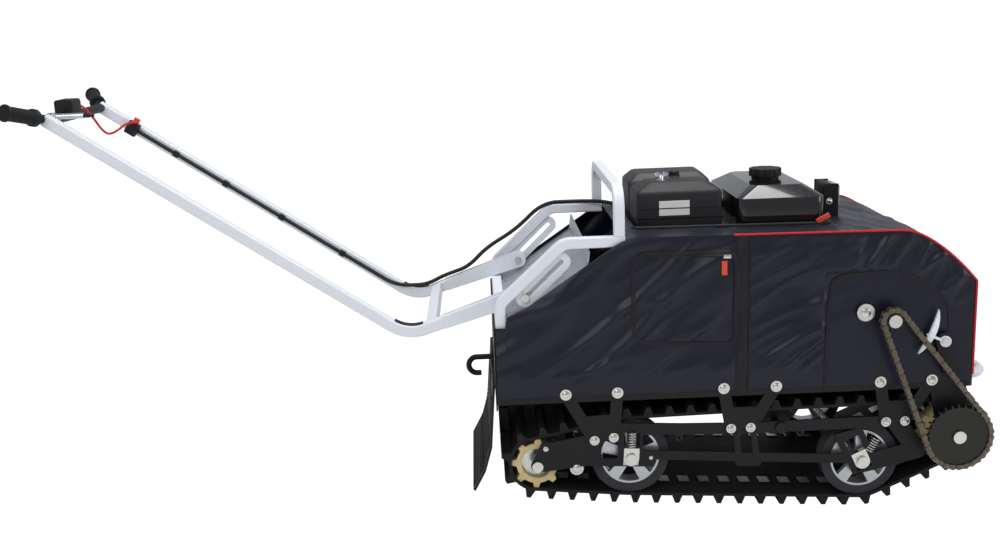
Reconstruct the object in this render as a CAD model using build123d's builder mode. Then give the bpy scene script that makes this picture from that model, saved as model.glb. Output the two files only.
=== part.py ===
from build123d import *
import math
import os

os.makedirs("parts", exist_ok=True)

# Tracked snow tug. Millimetres and degrees: X points forward, Y to the left side, Z up,
# with the origin on the ground under the middle of the machine.

# One overrun for every cut, and the gap between pieces that pass or touch without a weld
overrun = 6
seat_gap = 0.3

# Rubber track
track_pitch = 50.5
track_shoes = 48
track_width = 500
belt_thickness = 7
lug_height = 19
lug_root = 26
lug_crest = 10
lug_column = 150
lug_groove = 14
first_shoe = 17
solver_steps = 40

# Wheels that carry the track, on the ground frame
road_wheel_radius = 92
road_wheel_width = 42
road_wheel_inset = 5
rim_radius = 70
rim_lip = 5
rim_hub_radius = 22
spoke_count = 5
spoke_foot_share = 0.9
spoke_root = 30
spoke_tip = 20
spoke_thickness = 14
rear_wheel_x = 272
front_wheel_x = 823
idler_teeth = 8
drive_teeth = 9
sprocket_width = 40
sprocket_tooth_height = 11
sprocket_tooth_root = 22
sprocket_tooth_crest = 12
sprocket_bore = 37
idler_z = 95
drive_x = 1032
drive_z = 196
roller_x = 622
roller_z = 200
roller_radius = 36.5
roller_width = 30
roller_inset = 40

# Suspension side plates and what they hold
plate_inner = 259
plate_thickness = 6
hanger_thickness = 4
axle_radius = 8
axle_head_radius = 13
axle_head_height = 7
tie_radius = 12
axle_slot_width = 37
axle_slot_drop = 20
axle_slot_rise = 64
axle_block_thickness = 14
axle_block_rise = 26
front_slot_lean = 28
spring_radius = 12
spring_wire = 4
spring_coils = 6

# Body frame, pitched nose up over the track
body_pitch = 3.2
body_rear_x = -46
body_low_z = 243
frame_bolt_rise = 23

# Steel tub under the body
tub_half_width = 265
tub_wall = 6
tub_floor_rise = 2
tub_floor_thickness = 4
tub_side_height = 60
tub_length = 1098
tub_front_height = 250
rear_wall_thickness = 4
rear_wall_drop = 12
rear_wall_height = 190

# Fabric cover over the body
cover_half_width = 275
cover_wall = 5.7
cover_hem_rise = 5
cover_front_reach = 15
cover_length = tub_length + cover_front_reach
cover_top_rise = 390
cover_front_top_rise = 383
nose_depth = 159
cover_nose_start = cover_length - nose_depth
cover_nose_rise = 258
cover_front_low_rise = 28
cover_notch_rise = 189
cover_corner_along = 27
cover_corner_rise = 214
cover_slope_start = 75
cover_slope_start_rise = 237
cover_slope_end = 304
cover_bend_radius = 60
cover_low_corner_radius = 24
nose_bulge = 9

# White rear frame of square tube
frame_half_width = 250
frame_tube = 25
frame_tube_corner = 4
leg_along = 13
leg_low_rise = 60
incline_low_rise = 243
incline_top_along = 163
incline_top_rise = 379.5
leg_bend_radius = 30
incline_bend_radius = 45
hoop_along = 291
hoop_rise = 496
hoop_bend_radius = 44
slot_start_along = 72
slot_start_rise = 255
slot_end_along = 157
slot_end_rise = 336
slot_width = 11
slot_plate_width = 44
slot_plate_thickness = 6

# Folding handle
handle_half_width = 200
handle_tube = 28
handle_tube_corner = 5
arm_rise_angle = 17.9
arm_rear_along = -120
arm_height = 29
arm_pivot_height = 40
arm_width = 32
arm_wall = 2
elbow_along = -206
elbow_bend_radius = 90
handlebar_radius = 11
handlebar_along = -988
handlebar_rise = 696
grip_inner = 185
grip_overhang = 106
grip_outer = handle_half_width + grip_overhang
grip_end_along = -1043
grip_end_rise = 725
grip_radius = 16.5
grip_flange_radius = 19.5
grip_flange_length = 5
grip_length = 92
grip_collar_radius = 20
grip_collar_length = 16
handlebar_bend_radius = 36
handle_cross_back = 230
arm_tube_start = 34
arm_bush_radius = 13
pivot_bolt_radius = 5
pivot_head_radius = 9
pivot_head_height = 6

# Small controls and cables
throttle_ring_radius = 17
throttle_ring_length = 14
throttle_ring_wide = 182
throttle_pipe_radius = 6.5
throttle_pipe_length = 62
throttle_pipe_rise = 8
pod_half_width = 32
pod_depth = 42
pod_height = 36
pod_low = 4
pod_right = 92
pod_corner = 7
switch_back = 850
switch_length = 30
switch_height = 34
switch_width = 20
button_radius = 8
button_height = 12
lanyard_radius = 3
cable_radius = 5
cable_start_back = 834
clip_backs = (731, 584, 417, 233)
clip_length = 14
clip_wall = 2

# Chain drive on the right side
chain_pitch = 15.875
chain_links = 62
chain_plane = 300
chain_roller_radius = 5
chain_roller_width = 9.6
chain_plate_thickness = 2
chain_plate_height = 15
large_sprocket_teeth = 30
small_sprocket_teeth = 10
chain_sprocket_thickness = 9
chain_lean = 122.6
drive_axle_radius = 12.5
sprocket_bolt_radius = 15
sprocket_bolt_height = 8
stud_place = (986, 420.4)
stud_radius = 6
stud_head_radius = 10
stud_head_height = 5
lever_along = 22
lever_drop = 70
lever_width = 40
lever_thickness = 4
tensioner_shoe_wide = 281
tensioner_shoe_thickness = 8
tensioner_eye_radius = 13
tensioner_eye_thickness = 5
tensioner_bar_width = 6
shoe_offsets = (
    # Tip, front, foot and rear of the shoe, along and up from the stud
    (-24, 77),
    (-22.5, 31),
    (-62, -30),
    (-42, 15),
)


def track_plane(y):
    # Upright plane at width y, level with the ground, whose normal points to the right
    return Plane(origin=(0, y, 0), x_dir=(1, 0, 0), z_dir=(0, -1, 0))


def body_plane(y):
    # Upright plane at width y in the pitched body frame
    lean = math.radians(body_pitch)
    return Plane(
        origin=(body_rear_x, y, body_low_z),
        x_dir=(math.cos(lean), 0, math.sin(lean)),
        z_dir=(0, -1, 0),
    )


def body_point(along, up):
    # World x and z of a point of the body frame
    lean = math.radians(body_pitch)
    x = body_rear_x + along * math.cos(lean) - up * math.sin(lean)
    z = body_low_z + along * math.sin(lean) + up * math.cos(lean)
    return x, z


def body_level(up):
    # Deck plane at height up in the body frame, with local x forward and y to the left
    lean = math.radians(body_pitch)
    x, z = body_point(0, up)
    return Plane(
        origin=(x, 0, z),
        x_dir=(math.cos(lean), 0, math.sin(lean)),
        z_dir=(-math.sin(lean), 0, math.cos(lean)),
    )


def body_front(along):
    # Plane across the body that faces forward, with local x to the left and y up
    lean = math.radians(body_pitch)
    x, z = body_point(along, 0)
    return Plane(
        origin=(x, 0, z),
        x_dir=(0, 1, 0),
        z_dir=(math.cos(lean), 0, math.sin(lean)),
    )


def left_edge(side, inner, thickness):
    # Width of the left face of a slab that lies on one side of the machine
    return inner + thickness if side > 0 else -inner


def tangent(start, end):
    # Heading and length of the straight run between two wheels, each (x, z, radius)
    along = end[0] - start[0]
    rise = end[1] - start[1]
    span = math.hypot(along, rise)
    turn = math.asin((start[2] - end[2]) / span)
    return math.atan2(rise, along) + turn, span * math.cos(turn)


def grown(wheels, growth):
    return [(x, z, radius + growth) for x, z, radius in wheels]


def rim_point(wheel, heading):
    return (
        wheel[0] + wheel[2] * math.sin(heading),
        wheel[1] - wheel[2] * math.cos(heading),
    )


def wrap_turn(wheels, index):
    # How far a belt turns on one wheel of its loop
    before = tangent(wheels[index - 1], wheels[index])[0]
    after = tangent(wheels[index], wheels[(index + 1) % len(wheels)])[0]
    return before, (after - before) % (2 * math.pi)


def loop_length(wheels):
    total = 0
    for index, wheel in enumerate(wheels):
        total += tangent(wheels[index - 1], wheel)[1]
        total += wheel[2] * wrap_turn(wheels, index)[1]
    return total


def loop_station(wheels, distance):
    # Place and heading on a loop, from where it leaves the first wheel
    index = 0
    while True:
        wheel = wheels[index]
        following = wheels[(index + 1) % len(wheels)]
        heading, run = tangent(wheel, following)
        if distance <= run:
            x, z = rim_point(wheel, heading)
            x += distance * math.cos(heading)
            z += distance * math.sin(heading)
            return x, z, heading
        distance -= run
        index = (index + 1) % len(wheels)
        before, turn = wrap_turn(wheels, index)
        if distance <= following[2] * turn:
            heading = before + distance / following[2]
            return (*rim_point(following, heading), heading)
        distance -= following[2] * turn


def loop_line(wheels):
    # Straight runs and arcs of a loop, drawn into the current line
    for index, wheel in enumerate(wheels):
        following = wheels[(index + 1) % len(wheels)]
        heading = tangent(wheel, following)[0]
        before, turn = wrap_turn(wheels, index)
        start = rim_point(wheel, before)
        middle = rim_point(wheel, before + turn / 2)
        end = rim_point(wheel, heading)
        ThreePointArc(start, middle, end)
        Line(end, rim_point(following, heading))


def bar(start, end, width):
    # Flat bar with round ends between two points of a sketch
    along = end[0] - start[0]
    rise = end[1] - start[1]
    length = math.hypot(along, rise)
    middle = ((start[0] + end[0]) / 2, (start[1] + end[1]) / 2, 0)
    turn = math.degrees(math.atan2(rise, along))
    with Locations(Location(middle, (0, 0, turn))):
        SlotCenterToCenter(length, width)


# Track loop: the rear idler takes up the slack of the closed belt
road_wheel_z = lug_height + belt_thickness + seat_gap + road_wheel_radius
idler_radius = track_pitch * idler_teeth / (2 * math.pi) - belt_thickness / 2
drive_radius = track_pitch * drive_teeth / (2 * math.pi) - belt_thickness / 2


def track_wheels(idler_place):
    # The upper run lies on the rollers and on the tops of the rear road wheels
    return [
        (rear_wheel_x, road_wheel_z, road_wheel_radius + seat_gap),
        (front_wheel_x, road_wheel_z, road_wheel_radius + seat_gap),
        (drive_x, drive_z, drive_radius),
        (roller_x, roller_z, roller_radius + seat_gap),
        (rear_wheel_x, road_wheel_z, road_wheel_radius + seat_gap),
        (idler_place, idler_z, idler_radius),
    ]


idler_low = rear_wheel_x - track_pitch * idler_teeth
idler_high = rear_wheel_x - road_wheel_radius
for _ in range(solver_steps):
    idler_x = (idler_low + idler_high) / 2
    belt_length = loop_length(grown(track_wheels(idler_x), belt_thickness / 2))
    if belt_length > track_pitch * track_shoes:
        idler_low = idler_x
    else:
        idler_high = idler_x
wheels = track_wheels(idler_x)
print("rear idler x", round(idler_x, 2), "belt", round(belt_length, 2))

# Track belt with three columns of lugs
belt_middle = grown(wheels, belt_thickness / 2)
with BuildPart() as track_belt:
    with BuildSketch(track_plane(track_width / 2)):
        with BuildLine():
            loop_line(grown(wheels, belt_thickness))
        make_face()
        for shoe in range(track_shoes):
            x, z, heading = loop_station(belt_middle, first_shoe + shoe * track_pitch)
            with Locations(Location((x, z, 0), (0, 0, math.degrees(heading)))):
                Polygon(
                    (-lug_root / 2, 0),
                    (-lug_crest / 2, -belt_thickness / 2 - lug_height),
                    (lug_crest / 2, -belt_thickness / 2 - lug_height),
                    (lug_root / 2, 0),
                    align=None,
                )
        with BuildLine():
            loop_line(wheels)
        make_face(mode=Mode.SUBTRACT)
    extrude(amount=track_width)
    for groove in (track_width / 2 - lug_column, lug_column + lug_groove - track_width / 2):
        with BuildSketch(track_plane(groove)):
            with BuildLine():
                loop_line(grown(wheels, belt_thickness + lug_height + overrun))
            make_face()
            with BuildLine():
                loop_line(grown(wheels, belt_thickness))
            make_face(mode=Mode.SUBTRACT)
        extrude(amount=lug_groove, mode=Mode.SUBTRACT)
track_belt.part.label = "track_belt"
export_step(track_belt.part, "parts/track_belt.step")

# Road wheels: tyre profile and rim in a plane through the axle
wheel_face = track_width / 2 - road_wheel_inset
road_places = (rear_wheel_x, front_wheel_x)


def axle_line(x, z):
    return Axis((x, 0, z), (0, 1, 0))


def axle_section(x, z):
    # Upright plane through an axle, with local x to the left and y upward from the axle
    return Plane(origin=(x, 0, z), x_dir=(0, 1, 0), z_dir=(1, 0, 0))


with BuildPart() as road_tyres:
    for place in road_places:
        with BuildSketch(axle_section(place, road_wheel_z)):
            for side in (-1, 1):
                tyre_middle = side * (wheel_face - road_wheel_width / 2)
                with Locations((tyre_middle, (road_wheel_radius + rim_radius + seat_gap) / 2)):
                    Rectangle(road_wheel_width, road_wheel_radius - rim_radius - seat_gap)
        revolve(axis=axle_line(place, road_wheel_z))
road_tyres.part.label = "road_tyres"
export_step(road_tyres.part, "parts/road_tyres.step")

with BuildPart() as road_rims:
    for place in road_places:
        for side in (-1, 1):
            with BuildSketch(track_plane(left_edge(side, wheel_face - road_wheel_width, road_wheel_width))):
                with Locations((place, road_wheel_z)):
                    Circle(rim_radius)
                    Circle(rim_radius - rim_lip, mode=Mode.SUBTRACT)
                    Circle(rim_hub_radius)
                    Circle(axle_radius + seat_gap, mode=Mode.SUBTRACT)
            extrude(amount=road_wheel_width)
            with BuildSketch(track_plane(left_edge(side, wheel_face - spoke_thickness, spoke_thickness))):
                with Locations((place, road_wheel_z)):
                    with PolarLocations(0, spoke_count, start_angle=90):
                        Polygon(
                            (rim_hub_radius * spoke_foot_share, -spoke_tip / 2),
                            (rim_radius - rim_lip / 2, -spoke_root / 2),
                            (rim_radius - rim_lip / 2, spoke_root / 2),
                            (rim_hub_radius * spoke_foot_share, spoke_tip / 2),
                            align=None,
                        )
            extrude(amount=spoke_thickness)
road_rims.part.label = "road_rims"
export_step(road_rims.part, "parts/road_rims.step")

# Axle blocks ride in slots of the side plates, under coil springs
block_outer = plate_inner + plate_thickness + (axle_block_thickness - plate_thickness) / 2
block_inner = block_outer - axle_block_thickness
slot_leans = {rear_wheel_x: 0, front_wheel_x: front_slot_lean}


def up_slot(place, rise, across=0):
    # Point of a wheel's slot, rise above the axle along the slot and across to the front
    lean = math.radians(slot_leans[place])
    return (
        place - rise * math.sin(lean) + across * math.cos(lean),
        road_wheel_z + rise * math.cos(lean) + across * math.sin(lean),
    )


def slot_frame(place, rise):
    return Location((*up_slot(place, rise), 0), (0, 0, slot_leans[place]))


with BuildPart() as road_axles:
    for place in road_places:
        with BuildSketch(track_plane(block_outer)):
            with Locations((place, road_wheel_z)):
                Circle(axle_radius)
        extrude(amount=2 * block_outer)
        for side in (-1, 1):
            with BuildSketch(track_plane(left_edge(side, block_outer, axle_head_height))):
                with Locations((place, road_wheel_z)):
                    Circle(axle_head_radius)
            extrude(amount=axle_head_height)
road_axles.part.label = "road_axles"
export_step(road_axles.part, "parts/road_axles.step")

with BuildPart() as axle_blocks:
    for place in road_places:
        for side in (-1, 1):
            with BuildSketch(track_plane(left_edge(side, block_inner, axle_block_thickness))):
                with Locations((place, road_wheel_z)):
                    Circle(axle_slot_width / 2 - seat_gap)
                with Locations(slot_frame(place, axle_block_rise / 2)):
                    Rectangle(axle_slot_width - 2 * seat_gap, axle_block_rise)
                with Locations((place, road_wheel_z)):
                    Circle(axle_radius + seat_gap, mode=Mode.SUBTRACT)
            extrude(amount=axle_block_thickness)
axle_blocks.part.label = "axle_blocks"
export_step(axle_blocks.part, "parts/axle_blocks.step")

# Coil springs as stacks of closed coils on a core, between block and slot top
spring_low = axle_block_rise + seat_gap
spring_length = axle_slot_rise - seat_gap - spring_low
coil_step = spring_length / spring_coils
with BuildPart() as suspension_springs:
    for place in road_places:
        for side in (-1, 1):
            lean = math.radians(slot_leans[place])
            foot = up_slot(place, spring_low)
            up = (-math.sin(lean), 0, math.cos(lean))
            middle = side * (plate_inner + plate_thickness / 2)
            with BuildSketch(Plane(origin=(foot[0], middle, foot[1]), x_dir=(0, 1, 0), z_dir=up)):
                Circle(spring_radius - spring_wire)
            extrude(amount=spring_length)
            for coil in range(spring_coils):
                rise = spring_low + coil * coil_step
                ring = up_slot(place, rise)
                with BuildSketch(Plane(origin=(ring[0], middle, ring[1]), x_dir=(0, 1, 0), z_dir=up)):
                    Circle(spring_radius)
                extrude(amount=spring_wire)
suspension_springs.part.label = "suspension_springs"
export_step(suspension_springs.part, "parts/suspension_springs.step")

# Side plates of the suspension: rails, wheel webs, posts and tabs as flat bars
nose_bolt_along = 19
nose_bolt_rise = 45
rail_rear_reach = 28
rail_front_reach = 72
lower_rail_rear_reach = 40
lower_rail_front_reach = 32
nose_bolt = (idler_x + nose_bolt_along, idler_z + nose_bolt_rise)
rail_rear = (rear_wheel_x + rail_rear_reach, 190)
rail_middle = (532, 196)
rail_front = (front_wheel_x + rail_front_reach, 219)
rail_height = 27
lower_rail_rear = (rear_wheel_x + lower_rail_rear_reach, 127)
lower_rail_front = (front_wheel_x - lower_rail_front_reach, 123)
lower_rail_height = 22
rear_arm_height = 72
rear_arm_low = 84
web_half_width = 33
web_side = 14
web_top = 205
web_low = 98
post_width = 15
post_tops = (516, 557)
post_feet = (530, 573)
post_foot_z = 112
tab_places = ((383, 171), (670, 187))
tab_radius = 9
tab_hole_radius = 4
window_corner = 5
window_low = 116
window_high = 160
rear_window_start = 199
rear_window_end = 240
front_window_start = 297
front_window_end = 330
front_window_low = 138
front_window_high = 176
front_arm_end = (952, 148)
front_arm_tip = 22
front_foot_drop = 8

plate_bars = (
    # start x, start z, end x, end z, width
    (idler_x, idler_z, *nose_bolt, 2 * axle_head_radius + window_corner),
    (*rail_rear, *rail_middle, rail_height),
    (*rail_middle, *rail_front, rail_height),
    (*lower_rail_rear, *lower_rail_front, lower_rail_height),
    (post_tops[0], rail_middle[1], post_feet[0], post_foot_z, post_width),
    (post_tops[1], rail_middle[1], post_feet[1], post_foot_z, post_width),
    (post_feet[0], post_foot_z, post_feet[1], post_foot_z, post_width + window_corner),
    (*rail_front, *front_arm_end, 2 * front_arm_tip),
    (*up_slot(front_wheel_x, -front_foot_drop), *front_arm_end, 2 * front_arm_tip),
)
with BuildPart() as suspension_plates:
    for side in (1, -1):
        with BuildSketch(track_plane(left_edge(side, plate_inner, plate_thickness))):
            for start_x, start_z, end_x, end_z, width in plate_bars:
                bar((start_x, start_z), (end_x, end_z), width)
            Polygon(
                (nose_bolt[0], nose_bolt[1] + axle_head_radius),
                (rear_window_start, rear_arm_low + rear_arm_height + 2 * axle_head_radius),
                (rear_window_end, web_top),
                (rail_rear[0] + rail_height, web_top),
                (rail_rear[0] + rail_height, web_low),
                (rear_window_start - web_half_width, web_low),
                (idler_x, rear_arm_low - window_corner),
                align=None,
            )
            Polygon(
                up_slot(front_wheel_x, axle_slot_rise + rail_height, -web_half_width),
                up_slot(front_wheel_x, -axle_slot_drop - window_corner, -web_half_width),
                up_slot(front_wheel_x, -axle_slot_drop - window_corner, web_half_width),
                up_slot(front_wheel_x, axle_slot_rise + rail_height / 2, web_half_width),
                align=None,
            )
            for x, z in tab_places:
                bar((x, z), (x, z + 2 * tab_radius), 2 * tab_radius)
            for place in road_places:
                with Locations(slot_frame(place, (axle_slot_rise - axle_slot_drop) / 2)):
                    Rectangle(axle_slot_width, axle_slot_rise + axle_slot_drop, mode=Mode.SUBTRACT)
            for left, right, low, high in (
                (rear_window_start, rear_window_end, window_low, window_high),
                (front_window_start, front_window_end, front_window_low, front_window_high),
            ):
                with Locations(((left + right) / 2, (low + high) / 2)):
                    RectangleRounded(right - left, high - low, window_corner, mode=Mode.SUBTRACT)
            with Locations(*tab_places):
                Circle(tab_hole_radius, mode=Mode.SUBTRACT)
            with Locations((idler_x, idler_z), (roller_x, roller_z)):
                Circle(axle_radius + seat_gap, mode=Mode.SUBTRACT)
        extrude(amount=plate_thickness)
suspension_plates.part.label = "suspension_plates"
export_step(suspension_plates.part, "parts/suspension_plates.step")

# Three Y-shaped hangers a side join the suspension plates to the tub
hanger_bars = (
    # rear top along, front top along, rear bottom x, z, front bottom x, z
    (159, 280, 183, 163, 228, 171),
    (529, 652, 504, 197, 550, 200),
    (897, 1018, 870, 218, 915, 221),
)
hanger_arm_width = 28
hanger_web_share = 0.52
with BuildPart() as hangers:
    for side in (-1, 1):
        hanger_inner = plate_inner + plate_thickness
        with BuildSketch(track_plane(left_edge(side, hanger_inner, hanger_thickness))):
            for rear_top, front_top, rear_x, rear_z, front_x, front_z in hanger_bars:
                tops = [body_point(rear_top, frame_bolt_rise), body_point(front_top, frame_bolt_rise)]
                feet = [(rear_x, rear_z), (front_x, front_z)]
                web = []
                for top, foot in zip(tops, feet):
                    bar(foot, top, hanger_arm_width)
                    web.append(
                        (
                            foot[0] + (top[0] - foot[0]) * hanger_web_share,
                            foot[1] + (top[1] - foot[1]) * hanger_web_share,
                        )
                    )
                Polygon(feet[0], feet[1], web[1], web[0], align=None)
        extrude(amount=hanger_thickness)
hangers.part.label = "hangers"
export_step(hangers.part, "parts/hangers.step")

# Cross tubes between the suspension plates
rear_tie_back = 127
tie_places = (
    (rear_wheel_x - rear_tie_back, rear_arm_low + tie_radius),
    (rail_middle[0], rail_middle[1]),
    (rail_front[0] + rail_height, rail_front[1] - rail_height / 2),
)
with BuildPart() as cross_tubes:
    with BuildSketch(track_plane(plate_inner)):
        with Locations(*tie_places):
            Circle(tie_radius)
    extrude(amount=2 * plate_inner)
cross_tubes.part.label = "cross_tubes"
export_step(cross_tubes.part, "parts/cross_tubes.step")


def toothed_wheel(place, radius, teeth, tooth_height, root, crest, phase=0):
    # Disc with trapezoid teeth that end at the radius
    with Locations(place):
        Circle(radius - tooth_height)
        with PolarLocations(0, teeth, start_angle=phase):
            Polygon(
                (radius - tooth_height - root / 2, -root / 2),
                (radius, -crest / 2),
                (radius, crest / 2),
                (radius - tooth_height - root / 2, root / 2),
                align=None,
            )


# Toothed rings of the rear idler and of the drive axle, a pair each
for name, place, radius, teeth, bore in (
    ("idler_sprockets", (idler_x, idler_z), idler_radius, idler_teeth, sprocket_bore),
    ("drive_sprockets", (drive_x, drive_z), drive_radius, drive_teeth, drive_axle_radius + seat_gap),
):
    with BuildPart() as track_sprockets:
        for side in (-1, 1):
            inner = wheel_face - sprocket_width
            with BuildSketch(track_plane(left_edge(side, inner, sprocket_width))):
                toothed_wheel(
                    place,
                    radius - seat_gap,
                    teeth,
                    sprocket_tooth_height,
                    sprocket_tooth_root,
                    sprocket_tooth_crest,
                )
                with Locations(place):
                    Circle(bore, mode=Mode.SUBTRACT)
            extrude(amount=sprocket_width)
    track_sprockets.part.label = name
    export_step(track_sprockets.part, f"parts/{name}.step")

# Rear idler axle with the hubs of its rings
idler_hub_width = 26
idler_hub_inset = 14
with BuildPart() as idler_axle:
    with BuildSketch(track_plane(plate_inner + plate_thickness)):
        with Locations((idler_x, idler_z)):
            Circle(axle_radius)
    extrude(amount=2 * (plate_inner + plate_thickness))
    for side in (-1, 1):
        inner = wheel_face - idler_hub_inset - idler_hub_width
        with BuildSketch(track_plane(left_edge(side, inner, idler_hub_width))):
            with Locations((idler_x, idler_z)):
                Circle(sprocket_bore - seat_gap)
        extrude(amount=idler_hub_width)
        with BuildSketch(track_plane(left_edge(side, plate_inner + plate_thickness, axle_head_height))):
            with Locations((idler_x, idler_z)):
                Circle(axle_head_radius)
        extrude(amount=axle_head_height)
idler_axle.part.label = "idler_axle"
export_step(idler_axle.part, "parts/idler_axle.step")

# Upper rollers under the returning belt, two on one axle
with BuildPart() as upper_rollers:
    with BuildSketch(track_plane(plate_inner + plate_thickness)):
        with Locations((roller_x, roller_z)):
            Circle(axle_radius)
    extrude(amount=2 * (plate_inner + plate_thickness))
    for side in (-1, 1):
        inner = track_width / 2 - roller_inset - roller_width
        with BuildSketch(track_plane(left_edge(side, inner, roller_width))):
            with Locations((roller_x, roller_z)):
                Circle(roller_radius)
        extrude(amount=roller_width)
        with BuildSketch(track_plane(left_edge(side, plate_inner + plate_thickness, axle_head_height))):
            with Locations((roller_x, roller_z)):
                Circle(axle_head_radius)
        extrude(amount=axle_head_height)
upper_rollers.part.label = "upper_rollers"
export_step(upper_rollers.part, "parts/upper_rollers.step")

# Drive axle through both side walls, out to the chain wheel on the right
chain_wheel_left = chain_plane - chain_sprocket_thickness / 2
chain_wheel_right = chain_plane + chain_sprocket_thickness / 2
with BuildPart() as drive_axle:
    with BuildSketch(track_plane(plate_inner + plate_thickness)):
        with Locations((drive_x, drive_z)):
            Circle(drive_axle_radius)
    extrude(amount=plate_inner + plate_thickness + chain_wheel_right)
    with BuildSketch(track_plane(-chain_wheel_right)):
        with Locations((drive_x, drive_z)):
            Circle(sprocket_bolt_radius)
    extrude(amount=sprocket_bolt_height)
drive_axle.part.label = "drive_axle"
export_step(drive_axle.part, "parts/drive_axle.step")

# Chain: centre distance that closes the loop of whole links
large_chain_radius = chain_pitch / (2 * math.sin(math.pi / large_sprocket_teeth))
small_chain_radius = chain_pitch / (2 * math.sin(math.pi / small_sprocket_teeth))
shaft_near = large_chain_radius + small_chain_radius
shaft_far = chain_links * chain_pitch / 2


def chain_wheels(distance):
    lean = math.radians(chain_lean)
    return [
        (drive_x, drive_z, large_chain_radius),
        (
            drive_x + distance * math.cos(lean),
            drive_z + distance * math.sin(lean),
            small_chain_radius,
        ),
    ]


for _ in range(solver_steps):
    shaft_distance = (shaft_near + shaft_far) / 2
    if loop_length(chain_wheels(shaft_distance)) > chain_links * chain_pitch:
        shaft_far = shaft_distance
    else:
        shaft_near = shaft_distance
chain_loop = chain_wheels(shaft_distance)
shaft_x, shaft_z = chain_loop[1][:2]
print("chain shafts", round(shaft_distance, 2), "small sprocket", round(shaft_x, 1), round(shaft_z, 1))

chain_tooth_height = 8
chain_tooth_root = 6
chain_tooth_crest = 2.5
chain_run = tangent(*chain_loop)[1]
first_wrapped = math.ceil(chain_run / chain_pitch) * chain_pitch
for name, wheel, teeth, bore, roller_at in (
    ("chain_sprocket_large", chain_loop[0], large_sprocket_teeth, drive_axle_radius, 0),
    ("chain_sprocket_small", chain_loop[1], small_sprocket_teeth, axle_radius, first_wrapped),
):
    roller_turn = math.degrees(loop_station(chain_loop, roller_at)[2]) - 90
    with BuildPart() as chain_sprocket:
        with BuildSketch(track_plane(-chain_wheel_left)):
            toothed_wheel(
                wheel[:2],
                wheel[2] + chain_roller_radius / 2,
                teeth,
                chain_tooth_height,
                chain_tooth_root,
                chain_tooth_crest,
                roller_turn + 180 / teeth,
            )
            with Locations(wheel[:2]):
                Circle(bore + seat_gap, mode=Mode.SUBTRACT)
        extrude(amount=chain_sprocket_thickness)
    chain_sprocket.part.label = name
    export_step(chain_sprocket.part, f"parts/{name}.step")

# Roller chain: inner link ribbons, rollers that join them and outer links on every second pitch
ribbon_share = 0.4
link_bevel_share = 0.3
roller_sides = 6
ribbon_half_height = chain_plate_height * ribbon_share
link_bevel = chain_plate_height * link_bevel_share
chain_inner = chain_roller_width / 2
chain_pins = [loop_station(chain_loop, link * chain_pitch) for link in range(chain_links)]


def pin_corners(growth):
    # Corners of the row of straight links, grown outward from the pins where the chain bends
    corners = []
    for link, (x, z, heading) in enumerate(chain_pins):
        before = chain_pins[link - 1][2]
        after = chain_pins[(link + 1) % chain_links][2]
        if not (math.isclose(before, heading) and math.isclose(heading, after)):
            corners.append(rim_point((x, z, growth), heading))
    return corners


with BuildPart() as roller_chain:
    for side in (-1, 1):
        ribbon_left = left_edge(side, chain_inner, chain_plate_thickness) - chain_plane
        with BuildSketch(track_plane(ribbon_left)):
            Polygon(*pin_corners(ribbon_half_height), align=None)
            Polygon(*pin_corners(-ribbon_half_height), align=None, mode=Mode.SUBTRACT)
        extrude(amount=chain_plate_thickness)
        plates_left = (
            left_edge(side, chain_inner + chain_plate_thickness, chain_plate_thickness) - chain_plane
        )
        with BuildSketch(track_plane(plates_left)):
            for link in range(0, chain_links, 2):
                start, end = chain_pins[link], chain_pins[link + 1]
                x, z = (start[0] + end[0]) / 2, (start[1] + end[1]) / 2
                heading = math.atan2(end[1] - start[1], end[0] - start[0])
                reach = chain_pitch / 2 + chain_plate_height / 2
                with Locations(Location((x, z, 0), (0, 0, math.degrees(heading)))):
                    Polygon(
                        (-reach, 0),
                        (link_bevel - reach, -chain_plate_height / 2),
                        (reach - link_bevel, -chain_plate_height / 2),
                        (reach, 0),
                        (reach - link_bevel, chain_plate_height / 2),
                        (link_bevel - reach, chain_plate_height / 2),
                        align=None,
                    )
        extrude(amount=chain_plate_thickness)
    with BuildSketch(track_plane(chain_inner - chain_plane)):
        for x, z, heading in chain_pins:
            with Locations(Location((x, z, 0), (0, 0, math.degrees(heading)))):
                RegularPolygon(chain_roller_radius, roller_sides)
    extrude(amount=chain_roller_width)
roller_chain.part.label = "roller_chain"
export_step(roller_chain.part, "parts/roller_chain.step")

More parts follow.
